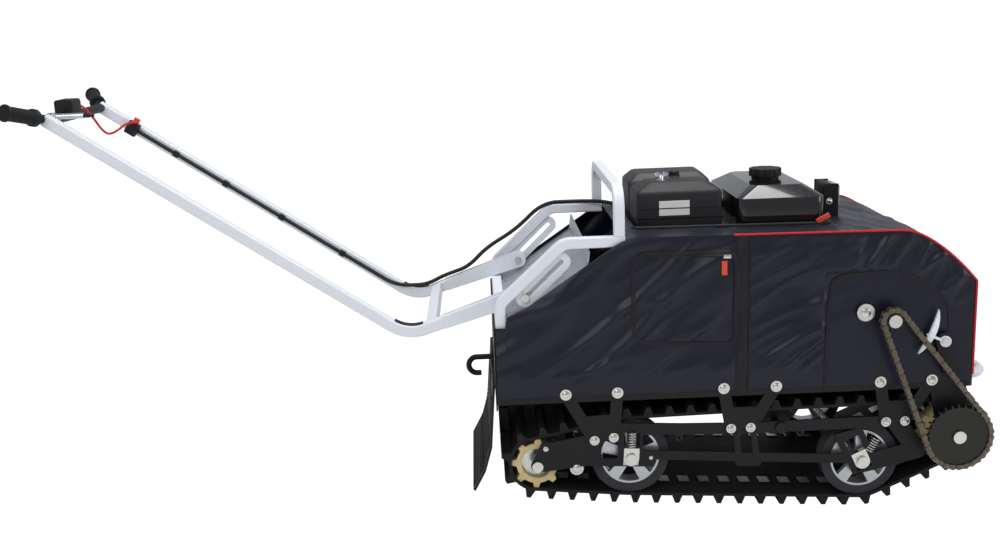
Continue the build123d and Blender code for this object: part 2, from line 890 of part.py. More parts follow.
# Steel tub: floor, side walls, rear and front walls and the bearing arms of the drive axle
bearing_radius = 36
bearing_root_along = 1004
chain_board_rear = 768
chain_board_front = 1068
chain_board_top = 288
chain_board_corner = 30
tub_inner = tub_half_width - tub_wall
with BuildPart() as chassis_tub:
    with BuildSketch(body_front(0)):
        Polygon(
            (-tub_half_width, tub_floor_rise),
            (tub_half_width, tub_floor_rise),
            (tub_half_width, tub_side_height),
            (tub_inner, tub_side_height),
            (tub_inner, tub_floor_rise + tub_floor_thickness),
            (-tub_inner, tub_floor_rise + tub_floor_thickness),
            (-tub_inner, tub_side_height),
            (-tub_half_width, tub_side_height),
            align=None,
        )
    extrude(amount=tub_length)
    with BuildSketch(body_front(-rear_wall_thickness)):
        with Locations((0, (rear_wall_height - rear_wall_drop) / 2)):
            Rectangle(2 * tub_half_width, rear_wall_height + rear_wall_drop)
    extrude(amount=rear_wall_thickness)
    with BuildSketch(body_front(tub_length - tub_wall)):
        with Locations((0, (tub_front_height + tub_floor_rise) / 2)):
            Rectangle(2 * tub_half_width, tub_front_height - tub_floor_rise)
    extrude(amount=tub_wall)
    for side in (-1, 1):
        with BuildSketch(track_plane(left_edge(side, tub_inner, tub_wall))):
            with Locations((drive_x, drive_z)):
                Circle(bearing_radius)
            Polygon(
                (drive_x - bearing_radius, drive_z),
                (drive_x + bearing_radius, drive_z),
                body_point(tub_length, tub_side_height),
                body_point(bearing_root_along, tub_side_height),
                align=None,
            )
            with Locations((drive_x, drive_z)):
                Circle(drive_axle_radius + seat_gap, mode=Mode.SUBTRACT)
        extrude(amount=tub_wall)
    with BuildSketch(body_plane(-tub_inner)):
        with Locations(((chain_board_rear + chain_board_front) / 2, chain_board_top / 2)):
            RectangleRounded(
                chain_board_front - chain_board_rear,
                chain_board_top - 2 * tub_floor_rise,
                chain_board_corner,
            )
    extrude(amount=tub_wall)
    with BuildSketch(track_plane(-tub_inner + overrun)):
        with Locations((shaft_x, shaft_z)):
            Circle(axle_radius + seat_gap)
    extrude(amount=tub_wall + 2 * overrun, mode=Mode.SUBTRACT)
chassis_tub.part.label = "chassis_tub"
export_step(chassis_tub.part, "parts/chassis_tub.step")

# White rear frames: leg, incline and level run in one bent tube, with a slotted plate below
slot_plate_inner = frame_half_width - slot_plate_thickness - seat_gap
slot_points = ((slot_start_along, slot_start_rise), (slot_end_along, slot_end_rise))
with BuildPart() as rear_frames:
    for side in (1, -1):
        with BuildLine(body_plane(side * frame_half_width)) as frame_path:
            FilletPolyline(
                (leg_along, leg_low_rise),
                (leg_along, incline_low_rise),
                (incline_top_along, incline_top_rise),
                (hoop_along + frame_tube / 2, incline_top_rise),
                radius=(leg_bend_radius, incline_bend_radius),
            )
        with BuildSketch(
            Plane(origin=frame_path.line @ 0, x_dir=(0, 1, 0), z_dir=frame_path.line % 0)
        ):
            RectangleRounded(frame_tube, frame_tube, frame_tube_corner)
        sweep(path=frame_path.line)
        with BuildSketch(body_plane(left_edge(side, slot_plate_inner, slot_plate_thickness))):
            bar(*slot_points, slot_plate_width)
            bar(*slot_points, slot_width)
        extrude(amount=slot_plate_thickness)
        with BuildSketch(body_plane(left_edge(side, slot_plate_inner, slot_plate_thickness) + overrun)):
            bar(*slot_points, slot_width)
        extrude(amount=slot_plate_thickness + 2 * overrun, mode=Mode.SUBTRACT)
rear_frames.part.label = "rear_frames"
export_step(rear_frames.part, "parts/rear_frames.step")

# Side arms of the handle, in the body frame: points back from the pivot and up from the arm's axis
arm_turn = math.radians(arm_rise_angle)
arm_length = (slot_start_along - arm_rear_along) / math.cos(arm_turn)
elbow_back = (slot_start_along - elbow_along) / math.cos(arm_turn)


def arm_point(back, up):
    return (
        slot_start_along - back * math.cos(arm_turn) - up * math.sin(arm_turn),
        slot_start_rise - back * math.sin(arm_turn) + up * math.cos(arm_turn),
    )


# The arms' undersides lie on the rear top edge of the rest tube
under_front = arm_point(0, -arm_pivot_height / 2)
under_rear = arm_point(arm_length, -arm_height / 2)
under_slope = (under_front[1] - under_rear[1]) / (under_front[0] - under_rear[0])
rest_corner = frame_tube / 2 - frame_tube_corner
rest_tube_rise = (
    under_front[1]
    + (leg_along - rest_corner - under_front[0]) * under_slope
    - (frame_tube_corner + seat_gap) / math.cos(math.atan(under_slope))
    - rest_corner
)

# Hoop over the machine and the cross tube that the folded-down handle rests on
with BuildPart() as frame_hoop:
    hoop_foot = incline_top_rise + frame_tube / 2
    with BuildLine(body_front(hoop_along)) as hoop_path:
        FilletPolyline(
            (-frame_half_width, hoop_foot),
            (-frame_half_width, hoop_rise),
            (frame_half_width, hoop_rise),
            (frame_half_width, hoop_foot),
            radius=hoop_bend_radius,
        )
    with BuildSketch(Plane(origin=hoop_path.line @ 0, x_dir=(0, 1, 0), z_dir=hoop_path.line % 0)):
        RectangleRounded(frame_tube, frame_tube, frame_tube_corner)
    sweep(path=hoop_path.line)
frame_hoop.part.label = "frame_hoop"
export_step(frame_hoop.part, "parts/frame_hoop.step")

with BuildPart() as rest_tube:
    with BuildSketch(body_plane(frame_half_width - frame_tube / 2)):
        with Locations((leg_along, rest_tube_rise)):
            RectangleRounded(frame_tube, frame_tube, frame_tube_corner)
    extrude(amount=2 * frame_half_width - frame_tube)
rest_tube.part.label = "rest_tube"
export_step(rest_tube.part, "parts/rest_tube.step")

# Galvanised slope panel between the rear frames
panel_thickness = 3
panel_half_width = 262
panel_seat = leg_along + frame_tube / 2 + panel_thickness / 2
panel_flange_low = 190
panel_flange_high = 203
panel_slope_foot = (78, 228)
panel_slope_head = (216, 320)
panel_top = (221, 360)
with BuildPart() as slope_panel:
    with BuildSketch(body_plane(panel_half_width)):
        with BuildLine():
            Polyline(
                (panel_seat, panel_flange_low),
                (panel_seat, panel_flange_high),
                panel_slope_foot,
                panel_slope_head,
                panel_top,
            )
        trace(line_width=panel_thickness)
    extrude(amount=2 * panel_half_width)
slope_panel.part.label = "slope_panel"
export_step(slope_panel.part, "parts/slope_panel.step")

# Fabric cover: side outline in the body frame
nose_middle = (
    (cover_nose_start + cover_length) / 2 + nose_bulge,
    (cover_front_top_rise + cover_nose_rise) / 2 + nose_bulge,
)


def cover_outline():
    start = (seat_gap, cover_hem_rise)
    nose_top = (cover_nose_start, cover_front_top_rise)
    nose_low = (cover_length, cover_nose_rise)
    Polyline(
        start,
        (seat_gap, cover_notch_rise),
        (cover_corner_along, cover_notch_rise),
        (cover_corner_along, cover_corner_rise),
        (cover_slope_start, cover_slope_start_rise),
        (cover_slope_end, cover_top_rise),
        nose_top,
    )
    ThreePointArc(nose_top, nose_middle, nose_low)
    Polyline(nose_low, (cover_length, cover_hem_rise), start)


def corner_near(sketch, place):
    return sketch.vertices().sort_by_distance(Vector(*place))[0]


cover_inner = cover_half_width - cover_wall
with BuildPart() as cover_sides:
    for side in (1, -1):
        with BuildSketch(body_plane(left_edge(side, cover_inner, cover_wall))) as side_panel:
            with BuildLine():
                cover_outline()
            make_face()
            fillet(corner_near(side_panel, (cover_slope_end, cover_top_rise)), cover_bend_radius)
            fillet(corner_near(side_panel, (cover_length, cover_hem_rise)), cover_low_corner_radius)
        extrude(amount=cover_wall)
        if side < 0:
            with BuildSketch(track_plane(-cover_inner + overrun)):
                with Locations((shaft_x, shaft_z)):
                    Circle(axle_radius + seat_gap)
                with Locations(stud_place):
                    Circle(stud_radius + seat_gap)
            extrude(amount=cover_wall + 2 * overrun, mode=Mode.SUBTRACT)
cover_sides.part.label = "cover_sides"
export_step(cover_sides.part, "parts/cover_sides.step")

# Top and nose of the cover between the sides, with the opening for the engine
engine_opening_rear = 332
engine_opening_front = 797
engine_opening_half_width = 182
cover_top_start = hoop_along + frame_tube / 2 + seat_gap
for name, begin, end, low in (
    ("cover_top", cover_top_start, cover_nose_start, cover_slope_start_rise),
    ("cover_nose", cover_nose_start, cover_length + overrun, cover_front_low_rise),
):
    with BuildPart() as cover_band:
        with BuildSketch(body_plane(cover_inner)):
            with BuildLine():
                cover_outline()
            make_face()
            offset(amount=-cover_wall, mode=Mode.SUBTRACT)
            with Locations(((begin + end) / 2, (low + cover_top_rise + overrun) / 2)):
                Rectangle(end - begin, cover_top_rise + overrun - low, mode=Mode.INTERSECT)
        extrude(amount=2 * cover_inner)
        with BuildSketch(body_level(cover_slope_start_rise)):
            with Locations(((engine_opening_rear + engine_opening_front) / 2, 0)):
                Rectangle(
                    engine_opening_front - engine_opening_rear, 2 * engine_opening_half_width
                )
        extrude(amount=cover_top_rise, mode=Mode.SUBTRACT)
    cover_band.part.label = name
    export_step(cover_band.part, f"parts/{name}.step")

# Engine as one closed block, with its outer cases
engine_rear = 380
engine_front = 770
engine_half_width = 165
engine_top = 377
engine_corner = 24
with BuildPart() as engine_block:
    with BuildSketch(body_level(tub_floor_rise + tub_floor_thickness)):
        with Locations(((engine_rear + engine_front) / 2, 0)):
            RectangleRounded(engine_front - engine_rear, 2 * engine_half_width, engine_corner)
    extrude(amount=engine_top - tub_floor_rise - tub_floor_thickness)
engine_block.part.label = "engine_block"
export_step(engine_block.part, "parts/engine_block.step")

tank_crown = 477
tank_dome = 25
crowned_cases = (
    # name, rear, front, right y, left y, wall rise, crown rise, crown inset, corner
    ("air_cleaner", 345, 549, -152, -18, 472, 494, 34, 12),
    ("muffler_cover", 347, 552, 14, 150, 474, 495, 22, 12),
    ("fuel_tank", 581, 787, -170, 170, tank_crown - tank_dome, tank_crown, 40, 22),
)
for name, rear, front, right, left, wall_top, crown, inset, corner in crowned_cases:
    with BuildPart() as crowned_case:
        middle = ((rear + front) / 2, (right + left) / 2)
        with BuildSketch(body_level(engine_top)):
            with Locations(middle):
                RectangleRounded(front - rear, left - right, corner)
        extrude(amount=wall_top - engine_top)
        with BuildSketch(body_level(wall_top)):
            with Locations(middle):
                RectangleRounded(front - rear, left - right, corner)
        with BuildSketch(body_level(crown)):
            with Locations(middle):
                RectangleRounded(front - rear - 2 * inset, left - right - 2 * inset, corner)
        loft(ruled=True)
    crowned_case.part.label = name
    export_step(crowned_case.part, f"parts/{name}.step")

# Fuel cap in two tiers with a lobed rim
cap_place = (680, -20)
cap_neck_radius = 33
cap_neck_height = 8
cap_radius = 39
cap_height = 19
cap_lobes = 10
cap_lobe_radius = 7
cap_lobe_share = 0.6
with BuildPart() as fuel_cap:
    with BuildSketch(body_level(tank_crown)):
        with Locations(cap_place):
            Circle(cap_neck_radius)
    extrude(amount=cap_neck_height)
    with BuildSketch(body_level(tank_crown + cap_neck_height)):
        with Locations(cap_place):
            Circle(cap_radius)
            with PolarLocations(cap_radius + cap_lobe_radius * cap_lobe_share, cap_lobes):
                Circle(cap_lobe_radius, mode=Mode.SUBTRACT)
    extrude(amount=cap_height)
fuel_cap.part.label = "fuel_cap"
export_step(fuel_cap.part, "parts/fuel_cap.step")

# Headlight on a two-armed bracket that stands on the cover's top
lamp_rear = 812
lamp_depth = 40
lamp_low = 404
lamp_high = 466
lamp_middle_y = -30
lamp_width = 84
lamp_corner = 12
bracket_thickness = 3
bracket_length = 34
with BuildPart() as headlight:
    with BuildSketch(body_front(lamp_rear)):
        with Locations((lamp_middle_y, (lamp_low + lamp_high) / 2)):
            RectangleRounded(lamp_width, lamp_high - lamp_low, lamp_corner)
    extrude(amount=lamp_depth)
headlight.part.label = "headlight"
export_step(headlight.part, "parts/headlight.step")

bracket_half = lamp_width / 2 + seat_gap
cover_fall = (cover_top_rise - cover_front_top_rise) / (cover_nose_start - cover_slope_end)
bracket_foot = cover_top_rise - cover_fall * (lamp_rear - cover_slope_end)
with BuildPart() as headlight_bracket:
    with BuildSketch(body_level(bracket_foot)):
        with Locations((lamp_rear + bracket_length / 2, lamp_middle_y)):
            Rectangle(bracket_length, 2 * bracket_half + 2 * bracket_thickness)
    extrude(amount=bracket_thickness)
    for edge in (lamp_middle_y + bracket_half + bracket_thickness, lamp_middle_y - bracket_half):
        with BuildSketch(body_plane(edge)):
            with Locations((lamp_rear + bracket_length / 2, (bracket_foot + lamp_high) / 2)):
                Rectangle(bracket_length, lamp_high - bracket_foot)
        extrude(amount=bracket_thickness)
headlight_bracket.part.label = "headlight_bracket"
export_step(headlight_bracket.part, "parts/headlight_bracket.step")

# Front bumper: a level tube loop welded to the front wall
bumper_half_width = 205
bumper_tube_radius = 12.5
bumper_rise = 15
bumper_reach = 72
bumper_along = tub_length + bumper_reach
bumper_bend_radius = 45
with BuildPart() as front_bumper:
    with BuildLine(body_level(bumper_rise)) as bumper_path:
        FilletPolyline(
            (tub_length, -bumper_half_width),
            (bumper_along, -bumper_half_width),
            (bumper_along, bumper_half_width),
            (tub_length, bumper_half_width),
            radius=bumper_bend_radius,
        )
    with BuildSketch(Plane(origin=bumper_path.line @ 0, z_dir=bumper_path.line % 0)):
        Circle(bumper_tube_radius)
    sweep(path=bumper_path.line)
front_bumper.part.label = "front_bumper"
export_step(front_bumper.part, "parts/front_bumper.step")

# Tow hook on its plate behind the rear wall
hitch_plate_width = 60
hitch_plate_low = -11
hitch_plate_high = 72
hitch_plate_thickness = 6
hitch_bolt_radius = 5.5
hitch_bolt_step = 38
hook_rod_radius = 7
hook_radius = 21
hook_along = -47
hook_rise = 24
hitch_back = -rear_wall_thickness - hitch_plate_thickness
with BuildPart() as hitch_plate:
    with BuildSketch(body_front(hitch_back)):
        with Locations((0, (hitch_plate_low + hitch_plate_high) / 2)):
            Rectangle(hitch_plate_width, hitch_plate_high - hitch_plate_low)
            with GridLocations(hitch_bolt_step, 0, 2, 1):
                Circle(hitch_bolt_radius, mode=Mode.SUBTRACT)
    extrude(amount=hitch_plate_thickness)
hitch_plate.part.label = "hitch_plate"
export_step(hitch_plate.part, "parts/hitch_plate.step")

with BuildPart() as tow_hook:
    with BuildLine(body_plane(0)) as hook_path:
        Line((hitch_back, hook_rise + hook_radius), (hook_along, hook_rise + hook_radius))
        ThreePointArc(
            (hook_along, hook_rise + hook_radius),
            (hook_along - hook_radius, hook_rise),
            (hook_along, hook_rise - hook_radius),
        )
        Line((hook_along, hook_rise - hook_radius), (hook_along + hook_radius / 2, hook_rise - hook_radius))
    with BuildSketch(Plane(origin=hook_path.line @ 0, z_dir=hook_path.line % 0)):
        Circle(hook_rod_radius)
    sweep(path=hook_path.line)
tow_hook.part.label = "tow_hook"
export_step(tow_hook.part, "parts/tow_hook.step")

# Rubber mudflap that hangs behind the track from the rear wall
flap_half_width = 210
flap_thickness = 6
flap_top_rise = 38
flap_top = body_point(-rear_wall_thickness - flap_thickness / 2, flap_top_rise)
flap_points = (
    # x back from the top, z
    (2, 200),
    (4, 120),
    (18, 60),
    (42, 10),
)
with BuildPart() as mudflap:
    with BuildSketch(track_plane(flap_half_width)):
        with BuildLine():
            Polyline(flap_top, *((flap_top[0] - back, height) for back, height in flap_points))
        trace(line_width=flap_thickness)
    extrude(amount=2 * flap_half_width)
    with BuildSketch(body_front(hitch_back - overrun)):
        with Locations((0, (hitch_plate_low + hitch_plate_high) / 2)):
            Rectangle(
                hitch_plate_width + 2 * seat_gap, hitch_plate_high - hitch_plate_low + 2 * seat_gap
            )
    extrude(amount=hitch_plate_thickness + rear_wall_thickness + overrun, mode=Mode.SUBTRACT)
mudflap.part.label = "mudflap"
export_step(mudflap.part, "parts/mudflap.step")

# Jackshaft: from its flange on the chain board out to the small sprocket and its end bolt
shaft_flange_radius = 16
shaft_flange_thickness = 6
with BuildPart() as jackshaft:
    with BuildSketch(track_plane(-tub_inner + shaft_flange_thickness)):
        with Locations((shaft_x, shaft_z)):
            Circle(shaft_flange_radius)
    extrude(amount=shaft_flange_thickness)
    with BuildSketch(track_plane(-tub_inner)):
        with Locations((shaft_x, shaft_z)):
            Circle(axle_radius)
    extrude(amount=chain_wheel_right - tub_inner)
    with BuildSketch(track_plane(-chain_wheel_right)):
        with Locations((shaft_x, shaft_z)):
            Circle(sprocket_bolt_radius)
    extrude(amount=sprocket_bolt_height)
jackshaft.part.label = "jackshaft"
export_step(jackshaft.part, "parts/jackshaft.step")

# Chain tensioner: stud on the chain board, lever on the cover and a curved shoe behind the chain
with BuildPart() as tensioner_stud:
    for wide, radius, height in (
        (tub_half_width, stud_radius, tensioner_shoe_wide + tensioner_eye_thickness - tub_half_width),
        (tensioner_shoe_wide + tensioner_eye_thickness, stud_head_radius, stud_head_height),
    ):
        with BuildSketch(track_plane(-wide)):
            with Locations(stud_place):
                Circle(radius)
        extrude(amount=height)
tensioner_stud.part.label = "tensioner_stud"
export_step(tensioner_stud.part, "parts/tensioner_stud.step")

with BuildPart() as tensioner_lever:
    with BuildSketch(track_plane(-cover_half_width - seat_gap)):
        bar(stud_place, (stud_place[0] + lever_along, stud_place[1] - lever_drop), lever_width)
        with Locations(stud_place):
            Circle(stud_radius, mode=Mode.SUBTRACT)
    extrude(amount=lever_thickness)
tensioner_lever.part.label = "tensioner_lever"
export_step(tensioner_lever.part, "parts/tensioner_lever.step")

shoe_tip, shoe_front, shoe_foot, shoe_rear = (
    (stud_place[0] + along, stud_place[1] + rise) for along, rise in shoe_offsets
)
with BuildPart() as tensioner_shoe:
    with BuildSketch(track_plane(-tensioner_shoe_wide)):
        with BuildLine():
            ThreePointArc(shoe_tip, shoe_front, shoe_foot)
            ThreePointArc(shoe_foot, shoe_rear, shoe_tip)
        make_face()
    extrude(amount=tensioner_shoe_thickness)
    with BuildSketch(track_plane(-tensioner_shoe_wide)):
        bar(stud_place, shoe_rear, tensioner_bar_width)
        with Locations(stud_place):
            Circle(tensioner_eye_radius)
            Circle(stud_radius, mode=Mode.SUBTRACT)
    extrude(amount=tensioner_eye_thickness)
tensioner_shoe.part.label = "tensioner_shoe"
export_step(tensioner_shoe.part, "parts/tensioner_shoe.step")

# Handle arms: two plates on each tube, joined by the bush of the pivot bolt
arm_outer = handle_half_width + arm_width / 2
arm_inner = handle_half_width - arm_width / 2
arm_pivot = arm_point(0, 0)
with BuildPart() as handle_arms:
    for side in (1, -1):
        for inner in (arm_inner, arm_outer - arm_wall):
            with BuildSketch(body_plane(left_edge(side, inner, arm_wall))):
                Polygon(
                    arm_point(0, -arm_pivot_height / 2),
                    arm_point(0, arm_pivot_height / 2),
                    arm_point(arm_length, arm_height / 2),
                    arm_point(arm_length, -arm_height / 2),
                    align=None,
                )
                with Locations(arm_pivot):
                    Circle(arm_pivot_height / 2)
                    Circle(pivot_bolt_radius + seat_gap, mode=Mode.SUBTRACT)
            extrude(amount=arm_wall)
        with BuildSketch(body_plane(left_edge(side, arm_inner + arm_wall, arm_width - 2 * arm_wall))):
            with Locations(arm_pivot):
                Circle(arm_bush_radius)
                Circle(pivot_bolt_radius + seat_gap, mode=Mode.SUBTRACT)
        extrude(amount=arm_width - 2 * arm_wall)
handle_arms.part.label = "handle_arms"
export_step(handle_arms.part, "parts/handle_arms.step")

# Handlebar: one round tube, bent back and up to the grips
bar_ends_back = math.hypot(handlebar_along - grip_end_along, grip_end_rise - handlebar_rise)
bar_lean = math.atan2(grip_end_rise - handlebar_rise, handlebar_along - grip_end_along)
bar_x, bar_z = body_point(handlebar_along, handlebar_rise)
bar_heading = bar_lean - math.radians(body_pitch)
bar_plane = Plane(
    origin=(bar_x, 0, bar_z),
    x_dir=(0, 1, 0),
    z_dir=(math.sin(bar_heading), 0, math.cos(bar_heading)),
)
with BuildPart() as handlebar:
    with BuildLine(bar_plane) as handlebar_path:
        FilletPolyline(
            (-grip_outer, bar_ends_back),
            (-grip_inner, 0),
            (grip_inner, 0),
            (grip_outer, bar_ends_back),
            radius=handlebar_bend_radius,
        )
    with BuildSketch(Plane(origin=handlebar_path.line @ 0, z_dir=handlebar_path.line % 0)):
        Circle(handlebar_radius)
    sweep(path=handlebar_path.line)
handlebar.part.label = "handlebar"
export_step(handlebar.part, "parts/handlebar.step")

# Rubber grips with an end flange and an inner collar, pushed over the bar's ends
with BuildPart() as grips:
    for at_end in (0, 1):
        inward = handlebar_path.line % at_end
        if at_end:
            inward = -inward
        with BuildSketch(Plane(origin=handlebar_path.line @ at_end, z_dir=inward)):
            Circle(grip_flange_radius)
        extrude(amount=grip_flange_length)
        with BuildSketch(Plane(origin=handlebar_path.line @ at_end, z_dir=inward)):
            Circle(grip_radius)
        extrude(amount=grip_length)
        collar_foot = handlebar_path.line @ at_end + inward * (grip_length - grip_collar_length)
        with BuildSketch(Plane(origin=collar_foot, z_dir=inward)):
            Circle(grip_collar_radius)
        extrude(amount=grip_collar_length)
    add(handlebar.part, mode=Mode.SUBTRACT)
grips.part.label = "grips"
export_step(grips.part, "parts/grips.step")

# Handle tubes: straight from the arms, round the elbow and up to the handlebar
bar_shift = bar_ends_back * (handle_half_width - grip_inner) / (grip_outer - grip_inner)
tube_top = (
    handlebar_along - bar_shift * math.cos(bar_lean),
    handlebar_rise + bar_shift * math.sin(bar_lean),
)
with BuildPart() as handle_tubes:
    for side in (1, -1):
        with BuildLine(body_plane(side * handle_half_width)) as tube_path:
            FilletPolyline(
                arm_point(arm_tube_start, 0),
                arm_point(elbow_back, 0),
                tube_top,
                radius=elbow_bend_radius,
            )
        with BuildSketch(
            Plane(origin=tube_path.line @ 0, x_dir=(0, 1, 0), z_dir=tube_path.line % 0)
        ):
            RectangleRounded(handle_tube, handle_tube, handle_tube_corner)
        sweep(path=tube_path.line)
        add(handlebar.part, mode=Mode.SUBTRACT)
handle_tubes.part.label = "handle_tubes"
export_step(handle_tubes.part, "parts/handle_tubes.step")

tube_inner = handle_half_width - handle_tube / 2
with BuildPart() as handle_cross_tube:
    with BuildSketch(body_plane(tube_inner)):
        with Locations(Location((*arm_point(handle_cross_back, 0), 0), (0, 0, arm_rise_angle))):
            RectangleRounded(frame_tube, frame_tube, frame_tube_corner)
    extrude(amount=2 * tube_inner)
handle_cross_tube.part.label = "handle_cross_tube"
export_step(handle_cross_tube.part, "parts/handle_cross_tube.step")

# Bolts that the handle turns on, with a spacer between arm and slot plate
with BuildPart() as pivot_bolts:
    for side in (-1, 1):
        for inner, radius, length in (
            (arm_inner - seat_gap - pivot_head_height, pivot_head_radius, pivot_head_height),
            (
                arm_inner - seat_gap,
                pivot_bolt_radius,
                slot_plate_inner + slot_plate_thickness + seat_gap - arm_inner,
            ),
            (arm_outer + seat_gap, pivot_head_radius, slot_plate_inner - arm_outer - seat_gap),
            (slot_plate_inner + slot_plate_thickness, pivot_head_radius, pivot_head_height),
        ):
            with BuildSketch(body_plane(left_edge(side, inner, length))):
                with Locations(arm_pivot):
                    Circle(radius)
            extrude(amount=length)
pivot_bolts.part.label = "pivot_bolts"
export_step(pivot_bolts.part, "parts/pivot_bolts.step")

# Throttle: clamp ring on the bar, with a silver cable pipe that points forward from it
with BuildPart() as throttle:
    with BuildSketch(Plane(origin=(bar_x, -throttle_ring_wide, bar_z), z_dir=(0, 1, 0))):
        Circle(throttle_ring_radius)
        Circle(handlebar_radius, mode=Mode.SUBTRACT)
    extrude(amount=throttle_ring_length)
    with BuildSketch(body_front(handlebar_along + handlebar_radius)):
        with Locations((throttle_ring_length / 2 - throttle_ring_wide, handlebar_rise + throttle_pipe_rise)):
            Circle(throttle_pipe_radius)
    extrude(amount=throttle_pipe_length)
    add(handlebar.part, mode=Mode.SUBTRACT)
throttle.part.label = "throttle"
export_step(throttle.part, "parts/throttle.step")

# Dark pod on the bar
with BuildPart() as control_pod:
    with BuildSketch(body_plane(2 * pod_half_width - pod_right)):
        with Locations((handlebar_along, handlebar_rise + pod_low + pod_height / 2)):
            RectangleRounded(pod_depth, pod_height, pod_corner)
    extrude(amount=2 * pod_half_width)
    add(handlebar.part, mode=Mode.SUBTRACT)
control_pod.part.label = "control_pod"
export_step(control_pod.part, "parts/control_pod.step")

# Stop switch on the left handle tube, with its button
elbow_point = arm_point(elbow_back, 0)
tube_lean = math.atan2(tube_top[1] - elbow_point[1], elbow_point[0] - tube_top[0])


def tube_point(back, up):
    # Point of the straight handle tube, back from the elbow and up from the tube's axis
    return (
        elbow_point[0] - back * math.cos(tube_lean) + up * math.sin(tube_lean),
        elbow_point[1] + back * math.sin(tube_lean) + up * math.cos(tube_lean),
    )


def tube_spot(back, up):
    return Location((*tube_point(back, up), 0), (0, 0, -math.degrees(tube_lean)))


with BuildPart() as stop_switch:
    with BuildSketch(body_plane(tube_inner)):
        with Locations(tube_spot(switch_back, 0)):
            Rectangle(switch_length, switch_height)
    extrude(amount=switch_width)
stop_switch.part.label = "stop_switch"
export_step(stop_switch.part, "parts/stop_switch.step")

button_foot = tube_point(switch_back, switch_height / 2)
button_x, button_z = body_point(*button_foot)
button_up = math.radians(body_pitch) - tube_lean
with BuildPart() as stop_button:
    with BuildSketch(
        Plane(
            origin=(button_x, tube_inner - switch_width / 2, button_z),
            x_dir=(0, 1, 0),
            z_dir=(-math.sin(button_up), 0, math.cos(button_up)),
        )
    ):
        Circle(button_radius)
    extrude(amount=button_height)
stop_button.part.label = "stop_button"
export_step(stop_button.part, "parts/stop_button.step")


# Cables: straight runs joined by arcs as wide as the runs allow
bend_share = 0.45


def cord_radii(points):
    radii = []
    for index in range(1, len(points) - 1):
        before = points[index] - points[index - 1]
        after = points[index + 1] - points[index]
        turn = math.radians(before.get_angle(after))
        radii.append(bend_share * min(before.length, after.length) / math.tan(turn / 2))
    return radii


def body_vector(along, up, y):
    x, z = body_point(along, up)
    return Vector(x, y, z)


cable_wide = tube_inner - cable_radius
cable_joint_back = 158
cable_joint_along = 186
frame_cable_rise = incline_top_rise + frame_tube / 2 + cable_radius + seat_gap
frame_cable_wide = frame_half_width - frame_tube / 4
arm_cable_rise = arm_pivot_height / 2 + cable_radius + seat_gap
cable_runs = (
    # name, radius, points
    (
        "handle_cable",
        cable_radius,
        (
            body_vector(*tube_point(cable_start_back, 0), cable_wide),
            body_vector(*tube_point(60, 0), cable_wide),
            body_vector(*arm_point(252, 22), cable_wide),
            body_vector(*arm_point(arm_length, arm_cable_rise), handle_half_width),
            body_vector(*arm_point(cable_joint_back + seat_gap, arm_cable_rise), handle_half_width),
        ),
    ),
    (
        "hinge_cable",
        cable_radius,
        (
            body_vector(*arm_point(cable_joint_back, arm_cable_rise), handle_half_width),
            body_vector(*arm_point(130, arm_cable_rise), handle_half_width),
            body_vector(-12, 286, 212),
            body_vector(72, 330, 230),
            body_vector(144, frame_cable_rise, frame_cable_wide),
            body_vector(cable_joint_along - seat_gap, frame_cable_rise, frame_cable_wide),
        ),
    ),
    (
        "frame_cable",
        cable_radius,
        (
            body_vector(cable_joint_along, frame_cable_rise, frame_cable_wide),
            body_vector(250, frame_cable_rise, frame_cable_wide),
            body_vector(300, 399, 214),
            body_vector(330, 397, 178),
            body_vector(362, 388, 160),
            body_vector(402, engine_top + cable_radius + seat_gap, 158),
        ),
    ),
    (
        "lanyard",
        lanyard_radius,
        (
            body_vector(-972, 718, 2 * pod_half_width - pod_right),
            body_vector(-972, 718, -14),
            body_vector(-960, 696, 10),
            body_vector(-950, 640, 72),
            body_vector(-938, 636, 108),
            body_vector(-908, 664, 148),
            body_vector(*tube_point(842, 23), 165),
        ),
    ),
)
for name, radius, points in cable_runs:
    radii = cord_radii(points)
    print(name, "radii", [round(value, 1) for value in radii])
    with BuildPart() as cable:
        with BuildLine() as cable_path:
            FilletPolyline(*points, radius=radii)
        with BuildSketch(Plane(origin=cable_path.line @ 0, z_dir=cable_path.line % 0)):
            Circle(radius)
        sweep(path=cable_path.line)
    cable.part.label = name
    export_step(cable.part, f"parts/{name}.step")

# Clips that hold the cable to the handle tube: a bent strip over the cable, open to the tube
clip_half = cable_radius + clip_wall
clip_rise = math.radians(body_pitch) - tube_lean
with BuildPart() as cable_clips:
    for back in clip_backs:
        with BuildSketch(
            Plane(
                origin=body_vector(*tube_point(back, 0), tube_inner),
                x_dir=(0, -1, 0),
                z_dir=(math.cos(clip_rise), 0, math.sin(clip_rise)),
            )
        ):
            with Locations(((2 * cable_radius + clip_wall) / 2, 0)):
                Rectangle(2 * cable_radius + clip_wall, 2 * clip_half)
            with Locations((cable_radius, 0)):
                Circle(cable_radius, mode=Mode.SUBTRACT)
            with Locations((cable_radius / 2, 0)):
                Rectangle(cable_radius, 2 * cable_radius, mode=Mode.SUBTRACT)
        extrude(amount=clip_length)
cable_clips.part.label = "cable_clips"
export_step(cable_clips.part, "parts/cable_clips.step")
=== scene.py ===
import math

import bmesh
import bpy
from mathutils import Matrix, Vector, noise


